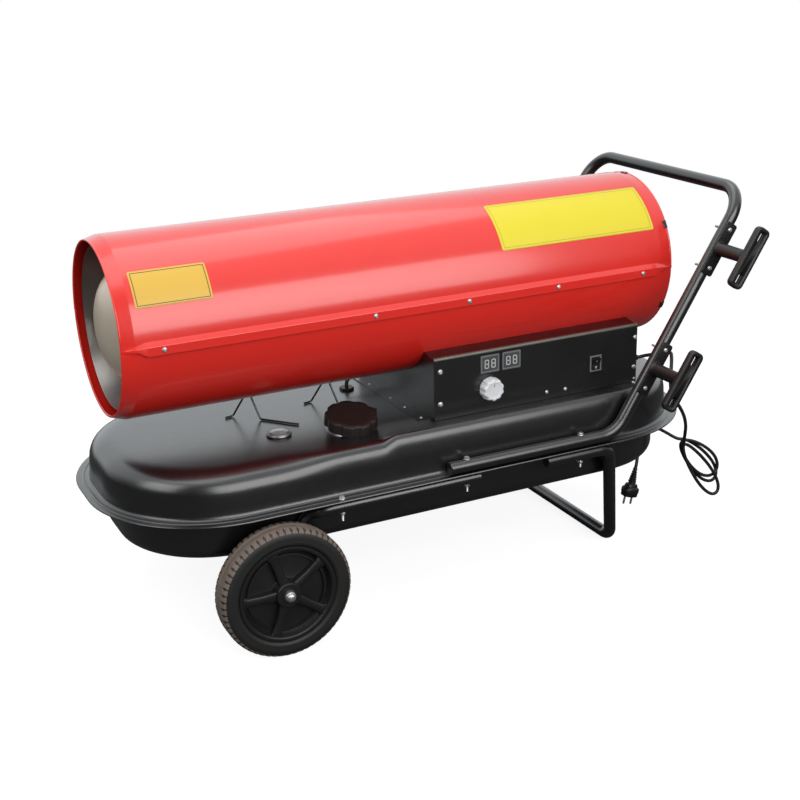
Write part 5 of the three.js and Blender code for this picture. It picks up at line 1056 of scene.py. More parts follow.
# %% Neck and cap
neck = turned("filler_neck_ring", [
    (33.5, -14), (45, -14), (45, -0.7), (47.6, -0.7), (47.6, 6.5), (47.2, 7.9), (46.4, 8.8), (45.6, 9),
    (37, 9), (36, 10), (36, 17), (35.2, 18), (34.2, 18), (33.5, 17.2), (33.5, -14),
], FILLER_AT, filler_axis, ZINC, steps=96)
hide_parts("filler_neck")
CAP_GRIPS = 9
cap = gripped("fuel_cap_body", [
    (41.5, 9.4, 0), (42.5, 9.1, 0.4), (50.0, 9.1, 1), (51.0, 10.2, 1), (50.6, 26.5, 1), (50.1, 28.9, 1),
    (48.6, 30.6, 0.9), (46.4, 31.2, 0.8), (40, 31.4, 0.1), (37.5, 31.2, 0), (36, 30.6, 0), (12, 30.4, 0),
    (0.01, 30.4, 0),
], FILLER_AT, filler_axis, CAP_GRIPS, 3.0, 6.6, CAP_BROWN, "cap")
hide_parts("fuel_cap")
print("cap: grips", CAP_GRIPS, "lean", round(math.degrees(FILLER_TILT)), "degrees")

# %% [markdown]
# The fuel gauge is a small dial under a clear dome, in a nickel ring. A float inside the tank moves its
# pointer. Ring, dial, stem and dome are turned forms that fit into each other. The dial's five marks are
# small raised blocks, since a painted mark would not be part of the mesh.

# %% Gauge
GAUGE_AT = (*GAUGE_PLACE, TANK_TOP + 0.3)
UPWARDS = (0, 0, 1)
bezel = turned("gauge_bezel", [
    (18.9, 0.6), (23.6, 0.6), (24.0, 1.2), (23.8, 3.6), (22.9, 4.6), (21.6, 4.8), (20.6, 4.4), (20.2, 5.0),
    (19.4, 5.1), (18.9, 4.6), (18.9, 0.6),
], GAUGE_AT, UPWARDS, NICKEL, steps=72)
dial = turned("gauge_dial", [
    (0.01, -1), (13, -1), (13, 0.2), (20, 0.2), (20, 1.9), (0.01, 1.9),
], GAUGE_AT, UPWARDS, BLACK_MOULDED, steps=64)
stem = turned("gauge_stem", [
    (0.01, -164), (7, -164), (7, -161), (3, -161), (3, -22), (13, -22), (13, -1), (0.01, -1),
], GAUGE_AT, UPWARDS, PALE_MOULDED, steps=40)
window = turned("gauge_glass", [
    (18.7, 4.4), (18.7, 5.4), (15, 6.5), (9, 7.3), (0.01, 7.6), (0.01, 6.6), (9, 6.3), (15, 5.5),
], GAUGE_AT, UPWARDS, WINDOW, steps=64)
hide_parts("gauge_body")
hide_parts("gauge_window")
nodes["gauge_pointer"].data.materials[0] = POINTER_RED
nodes["fuel_pickup"].data.materials[0] = BRONZE
GAUGE_MARKS = 5
for number in range(GAUGE_MARKS):
    angle = math.radians(-20 + 55 * number)
    middle = Vector(GAUGE_AT) + Vector((14.5 * math.sin(angle), 14.5 * math.cos(angle), 1.9))
    low, high = middle + Vector((-0.5, -2, -0.3)), middle + Vector((0.5, 2, 0.15))
    mark = block(f"gauge_mark_{number}", tuple(low), tuple(high), PALE_MOULDED,
                 turn=Matrix.Rotation(-angle, 3, "Z"), about=tuple(middle))
print("gauge marks:", GAUGE_MARKS)

# %% [markdown]
# ## Tube work
# One long tube makes the handle: it lies on the tank's flange, rises as two slanting legs and crosses at the
# top. Only its corner points are given. The helper rounds each corner with the same bend radius, as a tube
# bender does, and mirroring the points makes both legs alike.

# %% Handle
TUBE = 12.5
HANDLE_Y = 256
LEG_BASE_X = 950.5
LEG_ANGLE = math.radians(57.4)
HANDLE_Z = FLANGE_Z + 0.3 + TUBE
BAR_Z = 739


def leg_x(z):
    return LEG_BASE_X + (z - HANDLE_Z) / math.tan(LEG_ANGLE)


half = [(576, HANDLE_Z), (LEG_BASE_X, HANDLE_Z), (leg_x(BAR_Z), BAR_Z)]
handle_points = [(x, -HANDLE_Y, z) for x, z in half] + [(x, HANDLE_Y, z) for x, z in reversed(half)]
handle = tube("handle_tube", rounded(handle_points, 62, math.radians(4)), TUBE, BLACK, sides=32)
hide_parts("handle_frame")
print("handle: tube of", 2 * TUBE, "mm, top at", BAR_Z + TUBE, "mm")

# %% [markdown]
# The rear foot is the same tube, bent to a broad U under the flange. The wheel tubes are thinner. Each leaves
# the flange, runs inwards and down to the axle, and ends in a welded eye. Their route is a smooth line
# through seven given points, since a bent tube of this kind has no two bends alike.

# %% Foot and wheel tubes
FOOT_Z = FLANGE_Z - 3 * FLANGE_SHEET - 0.6 - TUBE + FLANGE_SHEET
half = [(790, 254, FOOT_Z), (938, 254, FOOT_Z), (1005, 171, TUBE)]
foot_points = [(x, -y, z) for x, y, z in half] + list(reversed(half))
foot_tube = tube("foot_tube", rounded(foot_points, 34, math.radians(5)), TUBE, BLACK, sides=32)
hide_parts("rear_foot")
WHEEL_X = 228
WHEEL_RADIUS = 125
WHEEL_TUBE = 11
WHEEL_TUBE_Z = FLANGE_Z - 3 * FLANGE_SHEET - 0.6 - WHEEL_TUBE + FLANGE_SHEET
INNER_Y = 229.5
for place, sign in (("near", -1), ("far", 1)):
    points = [(WHEEL_X + 134, HANDLE_Y, WHEEL_TUBE_Z), (WHEEL_X + 108, HANDLE_Y - 2, WHEEL_TUBE_Z - 1),
              (WHEEL_X + 90, HANDLE_Y - 8, WHEEL_TUBE_Z - 5), (WHEEL_X + 73, INNER_Y + 4, WHEEL_TUBE_Z - 13),
              (WHEEL_X + 57, INNER_Y, WHEEL_TUBE_Z - 30), (WHEEL_X + 36, INNER_Y, WHEEL_RADIUS + 64),
              (WHEEL_X + 5, INNER_Y, WHEEL_RADIUS + 8)]
    route = [Vector((640, sign * HANDLE_Y, WHEEL_TUBE_Z))]
    route += smooth_route([(x, sign * y, z) for x, y, z in points], 6)
    made = tube(f"wheel_tube_{place}", route, WHEEL_TUBE, BLACK, sides=28)
    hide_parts(f"wheel_frame_{place}")
    eye = turned(f"axle_eye_{place}", [
        (8.4, -10), (15, -10), (16, -9), (16, 9), (15, 10), (8.4, 10), (8.4, -10),
    ], (WHEEL_X, sign * INNER_Y, WHEEL_RADIUS), (0, 1, 0), BLACK, steps=48)
print("wheel tubes meet the axle at", WHEEL_X, "mm from the outlet")

# %% [markdown]
# ## Wheels
# Each wheel is a moulded hub with five ribs and a solid rubber tyre. The lugs round the tyre's edges could be
# an array of blocks, but a turned form with shallow grooves pressed into it stays one clean skin: where a
# groove lies, the tread's rows are drawn in. The two edges are shifted by half a lug, as on the real tread.
# The dusty running surface gets the paler finish, the grooves and the sides stay dark.

# %% The tyre's section and lugs
TYRE_HALF = 27
TYRE_INNER = 93.3
LUGS = 60
half_tread = [  # radius, distance from the tyre's middle plane, share of the groove's depth
    (TYRE_INNER, 23, 0), (TYRE_INNER + 3, 25.6, 0), (TYRE_INNER + 6, 27, 0), (102, 26.6, 0), (107, 26.8, 0),
    (109, 26.9, 0), (113, 26.4, 0), (118, 25, 0), (122, 22, 0.8), (124.2, 18, 1), (125, 13, 0.6), (125, 8, 0),
    (125, 6.6, 0), (124.4, 5.6, 0), (122.4, 4.6, 0), (122, 3, 0),
]
tread = [(r, -h, share) for r, h, share in half_tread] + list(reversed(half_tread))
GROOVE = 1.2
TREAD_FROM = 117
LUG_STEPS = 10


def tyre_piece(name, centre, axis, body):
    turn = along(axis)
    steps = LUGS * LUG_STEPS
    rings = []
    depths = []
    for radius, height, share in tread:
        row = []
        for k in range(steps):
            angle = math.tau * k / steps
            phase = (k / LUG_STEPS + (0.5 if height > 0 else 0)) % 1
            pressed = share * GROOVE * (1 - ease(abs(phase - 0.5), 0.06, 0.15))
            r = radius - pressed
            corner = turn @ Vector((r * math.cos(angle), r * math.sin(angle), height))
            row.append(tuple(Vector(centre) + corner))
            depths.append(pressed)
        rings.append(row)
    made = piece(name, *skin(rings, wrap=True), SIDEWALL, body, smooth=math.radians(50))
    made.data.materials.append(TYRE)
    for number, face in enumerate(made.data.polygons):
        row, k = divmod(number, steps)
        inner = min(tread[row][0], tread[(row + 1) % len(tread)][0])
        deepest = max(depths[row * steps + k], depths[row * steps + (k + 1) % steps])
        if inner > TREAD_FROM and deepest < GROOVE / 2:
            face.material_index = 1
    return made


print("tyre lugs:", LUGS, "per edge, points of the section:", len(tread))

# %% [markdown]
# The hub is one moulding: a turned dish with a double ring at its edge, a middle boss and five flat ribs. A
# washer and a domed cap nut hold the wheel on the axle. The ribs could be joined to the dish with a boolean,
# but they are separate small skins that start inside the boss and end inside the ring. On a black moulding
# the joint is unseen.

# %% Hubs, washers and cap nuts
HUB_ROWS = [
    (8.4, -27), (23, -27), (23, -1), (84, -1), (84, -23), (85, -24), (92, -24), (93, -23), (93, 23),
    (92.4, 24), (90.5, 24.4), (86.5, 24.4), (84.8, 23.4), (84, 21.5), (81.5, 13), (79, 10.5), (76.5, 10.2),
    (75.5, 13.4), (72.5, 13.8), (71, 9.2), (32, 8.8), (28, 10), (25.5, 14), (24, 24), (23.2, 27), (22, 28),
    (12, 28), (11, 27), (8.4, 27), (8.4, -27),
]
RIB_OUTLINE = [(20, 9.5), (50, 7.4), (76, 8.6), (85, 13), (85, -13), (76, -8.6), (50, -7.4), (20, -9.5)]
WASHER_ROWS = [(8.2, -1.3), (12, -1.3), (12.4, -0.9), (12.4, 0), (12, 0.3), (8.2, 0.3), (8.2, -1.3)]
NUT_ROWS = [
    (6.9, 1), (9.6, 1), (9.9, 1.8), (9.9, 6.4), (9.2, 7.4), (8.4, 8.0), (8.0, 9.6), (7.0, 11.6), (5, 13.0),
    (2.4, 13.7), (0.01, 13.8), (0.01, 9.5), (6.9, 9.4), (6.9, 1),
]
RIBS = 5
RIB_START = math.radians(36)


def hub_rib(name, centre, turn, body):
    rings = []
    for height, shrink in ((7, 0.0), (20.2, 0.0), (22.2, 0.8), (23, 2.2)):
        ring_points = []
        for radial, across_rib in RIB_OUTLINE:
            r = min(radial, 85.5 - shrink)
            w = across_rib - math.copysign(shrink, across_rib)
            top = height - (1.5 if height > 15 else 0) * (radial - 20) / 65
            ring_points.append(tuple(centre + turn @ Vector((r, w, top))))
        rings.append(ring_points)
    return piece(name, *skin(rings), BLACK_MOULDED, body, smooth=math.radians(50))


for place, sign in (("near", -1), ("far", 1)):
    body = f"wheel_{place}"
    centre = Vector((WHEEL_X, sign * (296 - TYRE_HALF), WHEEL_RADIUS))
    axis = (0, sign, 0)
    rubber_tyre = tyre_piece(f"tyre_{place}_tread", centre, axis, body)
    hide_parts(f"tyre_{place}")
    hub = turned(f"hub_{place}", HUB_ROWS, centre, axis, BLACK_MOULDED, body, steps=120)
    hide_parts(f"wheel_hub_{place}")
    for number in range(RIBS):
        turn = along(axis) @ Matrix.Rotation(math.tau * number / RIBS + RIB_START, 3, "Z")
        hub_rib(f"hub_rib_{place}_{number}", centre, turn, body)
    washer_at = (WHEEL_X, sign * 298.6, WHEEL_RADIUS)
    washer_piece = turned(f"axle_washer_{place}", WASHER_ROWS, washer_at, axis, BRONZE, steps=40)
    nut_at = (WHEEL_X, sign * 297.7, WHEEL_RADIUS)
    nut = turned(f"cap_nut_{place}", NUT_ROWS, nut_at, axis, ZINC, steps=48)
    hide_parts(f"axle_nut_{place}")
print("wheels: 2, each", 2 * WHEEL_RADIUS, "mm across with", RIBS, "ribs")

# %% [markdown]
# ## Control box and panel
# The control box is a sheet metal tray between tank and shell. Its near side is a flat panel whose upper edge
# is rolled over; the roll's faces get a paler black, a painted highlight along the edge. The panel is a
# profile drawn out along the machine, because folded sheet has the same section everywhere. Its openings for
# two displays, a knob and a switch are cut with a boolean, and weighted normals keep the flat face free of
# the streaks that such cuts leave.

# %% Panel
BOX_X0 = 589
BOX_X1 = 1055
BOX_BOTTOM = 350.3
BOX_TOP = 470
PANEL_BACK = -173.3
PANEL_FRONT = -175.1
ROLL = 4.5

profile = [(PANEL_BACK, BOX_BOTTOM), (PANEL_FRONT, BOX_BOTTOM), (PANEL_FRONT, BOX_TOP - 1)]
roll_y = PANEL_FRONT + ROLL
roll_angles = [math.radians(a) for a in range(0, 171, 10)]
profile += [(roll_y - ROLL * math.cos(a), BOX_TOP + ROLL * math.sin(a)) for a in roll_angles]
profile += [(roll_y + 1.1, BOX_TOP + 0.4), (PANEL_BACK, BOX_TOP + 0.4)]
panel = piece("panel_sheet", *skin([[(x, y, z) for y, z in profile] for x in (BOX_X0, BOX_X1)]), BLACK)
DISPLAYS = [710.5, 758.5]
DISPLAY_Z = 446
SWITCH_X = 954
SWITCH_Z = 406.5
KNOB_X = 709
KNOB_Z = 397
OUTWARDS = (0, -1, 0)
cutters = [block(f"window_{k}", (x - 20.8, -190, DISPLAY_Z - 17.8), (x + 20.8, -160, DISPLAY_Z + 17.8), BLACK)
           for k, x in enumerate(DISPLAYS)]
cutters.append(block("switch_window", (SWITCH_X - 11.9, -190, SWITCH_Z - 14.9),
                     (SWITCH_X + 11.9, -160, SWITCH_Z + 14.9), BLACK))
cutters.append(turned("shaft_hole", [(4.5, -10), (4.5, 10)], (KNOB_X, PANEL_FRONT, KNOB_Z), OUTWARDS, BLACK,
                      steps=24))
cut_out(panel, *cutters)
# The roll's faces, above the panel's top, get the paler black: a painted highlight along the rolled edge.
panel.data.materials.append(PAINTED_HIGHLIGHT_EDGE)
for face in panel.data.polygons:
    if face.center.z > (BOX_TOP - 0.9) * MM:
        face.material_index = 1
bevel(panel, 0.5)
panel.modifiers.new("flat_faces", "WEIGHTED_NORMAL").keep_sharp = True
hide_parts("control_panel")
bevel(nodes["control_box"], 0.8)
print("openings in the panel:", len(cutters))

# %% [markdown]
# Seven screws of several sizes hold the panel, and four small ones hold the box's foot to the tank. They're
# copies of the one screw, each turned a little further, because no two real screws stop at the same angle.

# %% Screws of the panel and the box
PANEL_SCREWS = [(602, 446.7, 1.2), (601.5, 381.7, 1.2), (1049.4, 446, 1.05), (1048.4, 383.3, 1.0),
                (1050, 358, 0.6), (840, 365, 0.85), (883.6, 364, 0.85)]  # x, z, size
for number, (x, z, size) in enumerate(PANEL_SCREWS):
    screw(f"panel_screw_{number}", (x, PANEL_FRONT, z), OUTWARDS, size=size, spin=0.3 + 0.7 * number)
BOX_SCREW_X = 572
BOX_SCREW_Y = (81, -18, -80, -150)
for number, y in enumerate(BOX_SCREW_Y):
    screw(f"box_screw_{number}", (BOX_SCREW_X, y, BOX_BOTTOM + 2), UPWARDS, size=0.65, spin=0.9 * number)
print("screws:", len(PANEL_SCREWS), "on the panel,", len(BOX_SCREW_Y), "on the box's foot")

# %% [markdown]
# Each display is a dark window in a grey frame. Its digits are plain seven-segment bars. They could be a
# texture, but small raised forms stay sharp at any distance and are part of the mesh.

# %% Segments of a digit
# A full 8 shows all seven bars. Each bar runs between two corners of the digit, given as (across, up).
SEGMENTS = {"a": ((-1, 2), (1, 2)), "b": ((1, 0), (1, 2)), "c": ((1, -2), (1, 0)), "d": ((-1, -2), (1, -2)),
            "e": ((-1, -2), (-1, 0)), "f": ((-1, 0), (-1, 2)), "g": ((-1, 0), (1, 0))}
SEGMENT = 4.0
SEGMENT_HALF_WIDTH = 0.95
SEGMENT_TIP = 0.9


def segment(name, middle_x, middle_z, ends, front):
    """One bar with pointed ends: a flat skin of six corners, slightly raised."""
    (x0, z0), (x1, z1) = ends
    a = Vector((middle_x + x0 * SEGMENT * 0.95, front, middle_z + z0 * SEGMENT))
    b = Vector((middle_x + x1 * SEGMENT * 0.95, front, middle_z + z1 * SEGMENT))
    run = (b - a).normalized()
    cross_run = Vector((-run.z, 0, run.x))
    a, b = a + run * 0.7, b - run * 0.7
    rings = []
    for y in (front + 0.3, front - 0.25):
        row = []
        for point, tip in ((a, -1), (b, 1)):
            for s in (-tip, 0, tip):
                sideways = cross_run * s * SEGMENT_HALF_WIDTH
                pointed = run * tip * (SEGMENT_TIP if s == 0 else 0)
                row.append(tuple(Vector((point.x, y, point.z)) + sideways + pointed))
        rings.append(row)
    made = piece(name, *skin(rings), DISPLAY_INK)
    return made


DISPLAY_INK = finish("display_segment", (0.5, 0.51, 0.52), 0.4, shade=0.9)
DISPLAY_GREY = finish("display_window", (0.075, 0.077, 0.08), 0.25, shade=0.85, shade_size=0.01)
print("bars in a digit:", len(SEGMENTS))

# %% [markdown]
# The frame of a display is a skin over six rounded rectangles: back, side, a softened front edge, the flat
# front and the step down to the window. A boolean cut would do it too, but rings keep the narrow edge clean.

# %% The two displays
FRAME_HALF = (20.5, 17.5)
DIGIT_PITCH = 14.8
front = PANEL_FRONT - 1
frame_rows = [(0, PANEL_BACK + 14), (0, front + 0.6), (0.6, front), (2.6, front), (3.1, front + 0.5),
              (3.1, front + 0.9)]
for x, name in zip(DISPLAYS, ("set_display", "room_display")):
    rings = []
    for inset, y in frame_rows:
        w, h = FRAME_HALF[0] - inset, FRAME_HALF[1] - inset
        r = max(2.2 - inset, 0.4)
        row = []
        for sx, sz, base in ((1, 1, 0), (-1, 1, 90), (-1, -1, 180), (1, -1, 270)):
            for a in range(0, 91, 15):
                angle = math.radians(base + a)
                row.append((x + sx * (w - r) + r * math.cos(angle), y,
                            DISPLAY_Z + sz * (h - r) + r * math.sin(angle)))
        rings.append(row)
    frame_piece = piece(f"{name}_frame", *skin(rings), GREY_MOULDED, smooth=math.radians(30))
    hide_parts(name)
    face = block(f"{name}_window", (x - 17.3, front + 0.25, DISPLAY_Z - 14.3),
                 (x + 17.3, front + 1.6, DISPLAY_Z + 14.3), DISPLAY_GREY)
    bevel(face, 0.2)
    for place in range(2):
        digit_x = x - DIGIT_PITCH / 2 + DIGIT_PITCH * place
        for letter, ends in SEGMENTS.items():
            segment(f"{name}_digit_{place}_{letter}", digit_x, DISPLAY_Z, ends, front + 0.2)
print("displays:", len(DISPLAYS), "with two digits each")

# %% [markdown]
# The thermostat's knob is a pale moulding with ten shallow grips and a short raised pointer line. The cap's
# helper makes it from another profile. It rides on its own body, so it turns on its shaft, and its line turns
# with it.

# %% Knob
KNOB_GRIPS = 10
knob_rows = [
    (3, -14, 0), (3, 1.2, 0), (22, 1.2, 0), (23.2, 1.8, 1), (23.5, 3, 1), (22.6, 15, 1), (22.0, 18.2, 1),
    (20.8, 20.2, 0.9), (19, 21.1, 0.7), (16.5, 21.2, 0.2), (15.4, 20.6, 0), (13.5, 20.2, 0), (6, 20.2, 0),
    (0.01, 20.2, 0),
]  # radius, height, share of the grip's depth
knob = gripped("knob_grip", knob_rows, (KNOB_X, PANEL_FRONT, KNOB_Z), OUTWARDS, KNOB_GRIPS, 2.0, 3.6,
               PALE_MOULDED, "knob", spin=math.pi / KNOB_GRIPS)
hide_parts("thermostat_knob")
mark = block("knob_line", (KNOB_X - 0.7, PANEL_FRONT - 20.65, KNOB_Z + 7),
             (KNOB_X + 0.7, PANEL_FRONT - 20.1, KNOB_Z + 13), GREY_MOULDED, "knob")
print("knob grips:", KNOB_GRIPS)

# %% [markdown]
# The power switch is a rocker in a grey frame. At rest it is tipped one way. Its marks, a line above and a
# circle below, are shallow raised forms that ride with the rocker, so they tip with it.

# %% Switch
ROCKER_REST = math.radians(9)
ROCKER_FACE = 7.2
bevel(nodes["switch_frame"], 0.7, 3)
nodes["switch_frame"].data.materials[0] = GREY_MOULDED
bevel(nodes["switch_rocker"], 0.6, 3)
rocker_turn = Matrix.Rotation(ROCKER_REST, 3, "X")
rocker_middle = Vector((SWITCH_X, PANEL_FRONT + 4, SWITCH_Z))


def on_rocker(name, low, high, sign):
    """A small mark on the rocker's upper (+1) or lower (-1) half, in that half's own frame."""
    turn = rocker_turn @ Matrix.Rotation(sign * ROCKER_REST, 3, "X")
    start = rocker_turn @ Vector((0, -ROCKER_FACE, 0))
    corners = []
    for x in (low[0], high[0]):
        for y in (-0.12, 0.6):
            for z in (low[1], high[1]):
                corners.append(tuple(rocker_middle + start + turn @ Vector((x, y, z))))
    faces = [(0, 1, 3, 2), (4, 6, 7, 5), (0, 4, 5, 1), (2, 3, 7, 6), (0, 2, 6, 4), (1, 5, 7, 3)]
    made = piece(name, corners, faces, PALE_MOULDED, "rocker")
    return made


on_rocker("rocker_line", (-0.45, 4.5), (0.45, 8.5), 1)
middle = rocker_middle + rocker_turn @ Vector((0, -ROCKER_FACE, 0))
turn = rocker_turn @ Matrix.Rotation(-ROCKER_REST, 3, "X")
circle_at = middle + turn @ Vector((0, -0.02, -6.6))
circle = turned("rocker_circle", [(1.4, -0.4), (2.2, -0.4), (2.2, 0.1), (1.4, 0.1), (1.4, -0.4)], circle_at,
                turn @ Vector(OUTWARDS), PALE_MOULDED, "rocker", steps=32)
print("marks on the rocker:", 2)

# %% [markdown]
# The cord leaves the box through a gland: a nut on the box's end wall with a ribbed, tapering rubber sleeve,
# which keeps the cord from bending sharply. It is round all over, so one turned profile gives it all.

# %% Gland
gland_rows = [(10, -14), (10, -2.3), (7, -2.3), (7, 0.3), (10, 0.3), (10, 6.6), (9.2, 7.6), (7.6, 8.2)]
for rib in range(4):
    base = 8.6 + rib * 2.8
    width = 6.9 - rib * 0.45
    gland_rows += [(width, base), (width, base + 1.7), (width - 1.0, base + 1.95), (width - 1.0, base + 2.6)]
gland_rows += [(4.4, 20), (0.01, 20)]
gland = turned("gland_sleeve", gland_rows, (BOX_X1, *GLAND_TIP[1:]), (1, 0, 0), BLACK_MOULDED, steps=48)
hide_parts("cord_gland")
print("gland: out of the box by", GLAND_TIP[0] - BOX_X1, "mm")

# %% [markdown]
# ## Cord wraps
# On the near leg two T-shaped wraps hold the spare cord. Each is a moulding with a plate, a stem and a
# crossbar with rounded ends. A bevelled box would do for the bars, but its corners and its edges need
# different radii, so one helper makes a bar from rounded rectangles.

# %% Wraps
def rounded_bar(name, half_x, half_z, y0, y1, corner, edge, frame_at, turn, material):
    """A bar with rounded corners seen from the front and softened edges, in the wrap's own frame."""
    rings = []
    slope = edge * 0.3
    for inset, y in ((edge, y0), (slope, y0 + slope), (0, y0 + edge), (0, y1 - edge), (slope, y1 - slope),
                     (edge, y1)):
        row = []
        r = corner - inset * 0.6
        for sx, sz, base in ((1, 1, 0), (-1, 1, 90), (-1, -1, 180), (1, -1, 270)):
            for a in range(0, 91, 10):
                angle = math.radians(base + a)
                local = Vector((sx * (half_x - inset - r) + r * math.cos(angle), y,
                                sz * (half_z - inset - r) + r * math.sin(angle)))
                row.append(tuple(Vector(frame_at) + turn @ local))
        rings.append(row)
    return piece(name, *skin(rings), material, smooth=math.radians(50))


print("the leg leans", round(90 - math.degrees(LEG_ANGLE), 1), "degrees from upright")

# %% [markdown]
# The wraps lean with the leg, so their forms are made upright and turned by one matrix. The crossbar's
# through slots are cut with a boolean, as they are the one form that rings can't give. The plate's screws
# pass through the leg, and their threaded ends show behind it.

# %% Both wraps
STEM_ROWS = [(0.01, 0), (16.5, 0), (15, 1.5), (13.8, 4), (13.2, 8), (12.8, 70), (13.4, 74.5), (14.4, 77),
             (15.6, 79), (0.01, 79)]
THREAD_PITCH = 1.1
thread_rows = [(0.01, 0), (2.4, 0)]
for groove in range(14):
    thread_rows += [(2.5, 0.4 + groove * THREAD_PITCH), (2.0, 0.95 + groove * THREAD_PITCH)]
thread_rows += [(1.6, 16.2), (0.01, 16.4)]
lean = Matrix.Rotation(math.pi / 2 - LEG_ANGLE, 3, "Y")
for place, z in (("upper", 632), ("lower", 408)):
    foot = Vector((leg_x(z), -HANDLE_Y, z))
    plate = rounded_bar(f"wrap_plate_{place}", 14, 56, -15.8, -12.8, 5, 0.8, foot, lean, BLACK_MOULDED)
    crossbar = rounded_bar(f"wrap_bar_{place}", 16.5, 63, -107.5, -94.5, 10, 2.6, foot, lean, BLACK_MOULDED)
    slots = []
    for k, shift in enumerate((-44, 44)):
        slot_at = foot + lean @ Vector((0, 0, shift))
        slots.append(rounded_bar(f"recess_{k}", 6.5, 11, -112, -90, 4, 0.1, slot_at, lean, BLACK_MOULDED))
    cut_out(crossbar, *slots)
    stem = turned(f"wrap_stem_{place}", STEM_ROWS, foot + lean @ Vector((0, -15.6, 0)),
                  lean @ Vector(OUTWARDS), BLACK_MOULDED, steps=40)
    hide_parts(f"cord_wrap_{place}")
    for k, shift in enumerate((-42, 42)):
        screw(f"wrap_screw_{place}_{k}", tuple(foot + lean @ Vector((0, -15.8, shift))),
              lean @ Vector(OUTWARDS), size=1.05, spin=0.6 + k + z)
        end_at = foot + lean @ Vector((0, TUBE - 0.6, shift))
        threaded_end = turned(f"wrap_screw_end_{place}_{k}", thread_rows, end_at, (0, 1, 0), ZINC, steps=16)
print("cord wraps: 2, slots in each:", len(slots))

# %% [markdown]
# ## Wires under the shell and the rear guard
# Two bent wires steady the front of the shell on the tank. Each lies on the tank, rises to touch the shell
# and comes down again. Their points are set from the photograph, and the heights come from the shell and
# the tank.

# %% Wires
WIRE = 2.0
WIRE_SHAPE = [(0, 41), (17, 45), (42, 20), (57, 0), (99, -51), (111, -63)]
WIRE_APEX = 2  # the point of the shape that touches the shell
apex_z = AXIS_Z - math.sqrt((SHELL_RADIUS + TOUCH + WIRE) ** 2 - WIRE_SHAPE[WIRE_APEX][1] ** 2) - 0.6
floor_z = TANK_TOP + TOUCH + WIRE
for place, x0 in (("front", 243), ("rear", 408)):
    points = [(x0 + x, y, apex_z if k == WIRE_APEX else floor_z) for k, (x, y) in enumerate(WIRE_SHAPE)]
    made = tube(f"wire_{place}", rounded(points, 5, math.radians(12)), WIRE, BLACK, sides=16, edge=0.4)
    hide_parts(f"support_wire_{place}")
print("wires under the shell: 2, apex at", round(apex_z, 1), "mm")

# %% [markdown]
# The rear of the shell is closed by a guard of four welded rings and six spokes, with a small disc in the
# middle and six tabs in slots of the rim. It could be one mesh, but separate rings and spokes look the same
# and are simpler to make, since welded wires simply run into each other.

# %% Rear guard
GUARD_X = SHELL_LENGTH - 8
GUARD_WIRE = 1.7
GUARD_SPOKES = 6
for radius in (48, 86, 124, 160):
    ring(f"guard_ring_{radius}", radius, GUARD_X, GUARD_WIRE, BLACK, steps=120, sides=12)
turned_on_axis("guard_middle", [
    (0.01, GUARD_X - 1.2), (14, GUARD_X - 1.2), (15, GUARD_X), (14, GUARD_X + 1.2), (0.01, GUARD_X + 1.2),
], BLACK, steps=48)
behind_rings = AXIS + Vector((GUARD_X - 2.6, 0, 0))
for number in range(GUARD_SPOKES):
    angle = math.radians(30 + 60 * number)
    out = Vector((0, math.cos(angle), math.sin(angle)))
    start, end = behind_rings + out * 8, behind_rings + out * 161
    tube(f"guard_spoke_{number}", [start, start.lerp(end, 0.5), end], GUARD_WIRE, BLACK,
                             sides=12, edge=0.3)
    tab = block(f"guard_tab_{number}", (SHELL_LENGTH - 9, -8, AXIS_Z + 159),
                (SHELL_LENGTH - 1, 8, AXIS_Z + 168.8), BLACK,
                turn=Matrix.Rotation(angle - math.pi / 2, 3, "X"), about=AXIS)
    bevel(tab, 0.7)
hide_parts("fan_guard")

# %% [markdown]
# ## Bolts of the flange
# Bolts clamp the wheel tubes and the handle to the tank's flange. Each has a hexagonal head, a washer, and a
# threaded end with a nut below. A real thread is a helix, but at this size separate grooves look the same and
# need only a turned profile.

# %% Flange bolts
BOLT_PITCH = 1.5


def hexagon(name, place, axis, flat_half, height, material, spin=0.0):
    corner = flat_half / math.cos(math.pi / 6)
    turn = along(axis)
    rings = []
    for shrink, h in ((1.0, 0), (1.0, height - 0.8), (0.93, height), (0.6, height)):
        angles = [spin + math.pi * k / 3 for k in range(6)]
        reach = corner * shrink
        rings.append([tuple(Vector(place) + turn @ Vector((reach * math.cos(a), reach * math.sin(a), h)))
                      for a in angles])
    made = piece(name, *skin(rings), material)
    return made


def bolt(number, x, y, head_z, end_z, nut_z):
    hexagon(f"bolt_head_{number}", (x, y, head_z), (0, 0, 1), 4.6, 3.6, ZINC, spin=0.3 * number)
    washer_rows = [(2.6, 0), (6.0, 0), (6.3, 0.4), (6.0, 1.3), (2.6, 1.3), (2.6, 0)]
    made = turned(f"bolt_washer_{number}", washer_rows, (x, y, head_z - 1.3), (0, 0, 1), ZINC, steps=32)
    rows = [(0.01, 0), (2.1, 0)]
    length = head_z - end_z
    for k in range(int(length / BOLT_PITCH)):
        rows += [(2.8, (k + 0.45) * BOLT_PITCH), (2.3, (k + 0.95) * BOLT_PITCH)]
    rows += [(2.3, length), (0.01, length)]
    made = turned(f"bolt_thread_{number}", rows, (x, y, end_z), (0, 0, 1), ZINC, steps=20)
    hexagon(f"bolt_nut_{number}", (x, y, nut_z + 2.6), (0, 0, 1), 4.6, 3.4, ZINC, spin=0.5 * number)


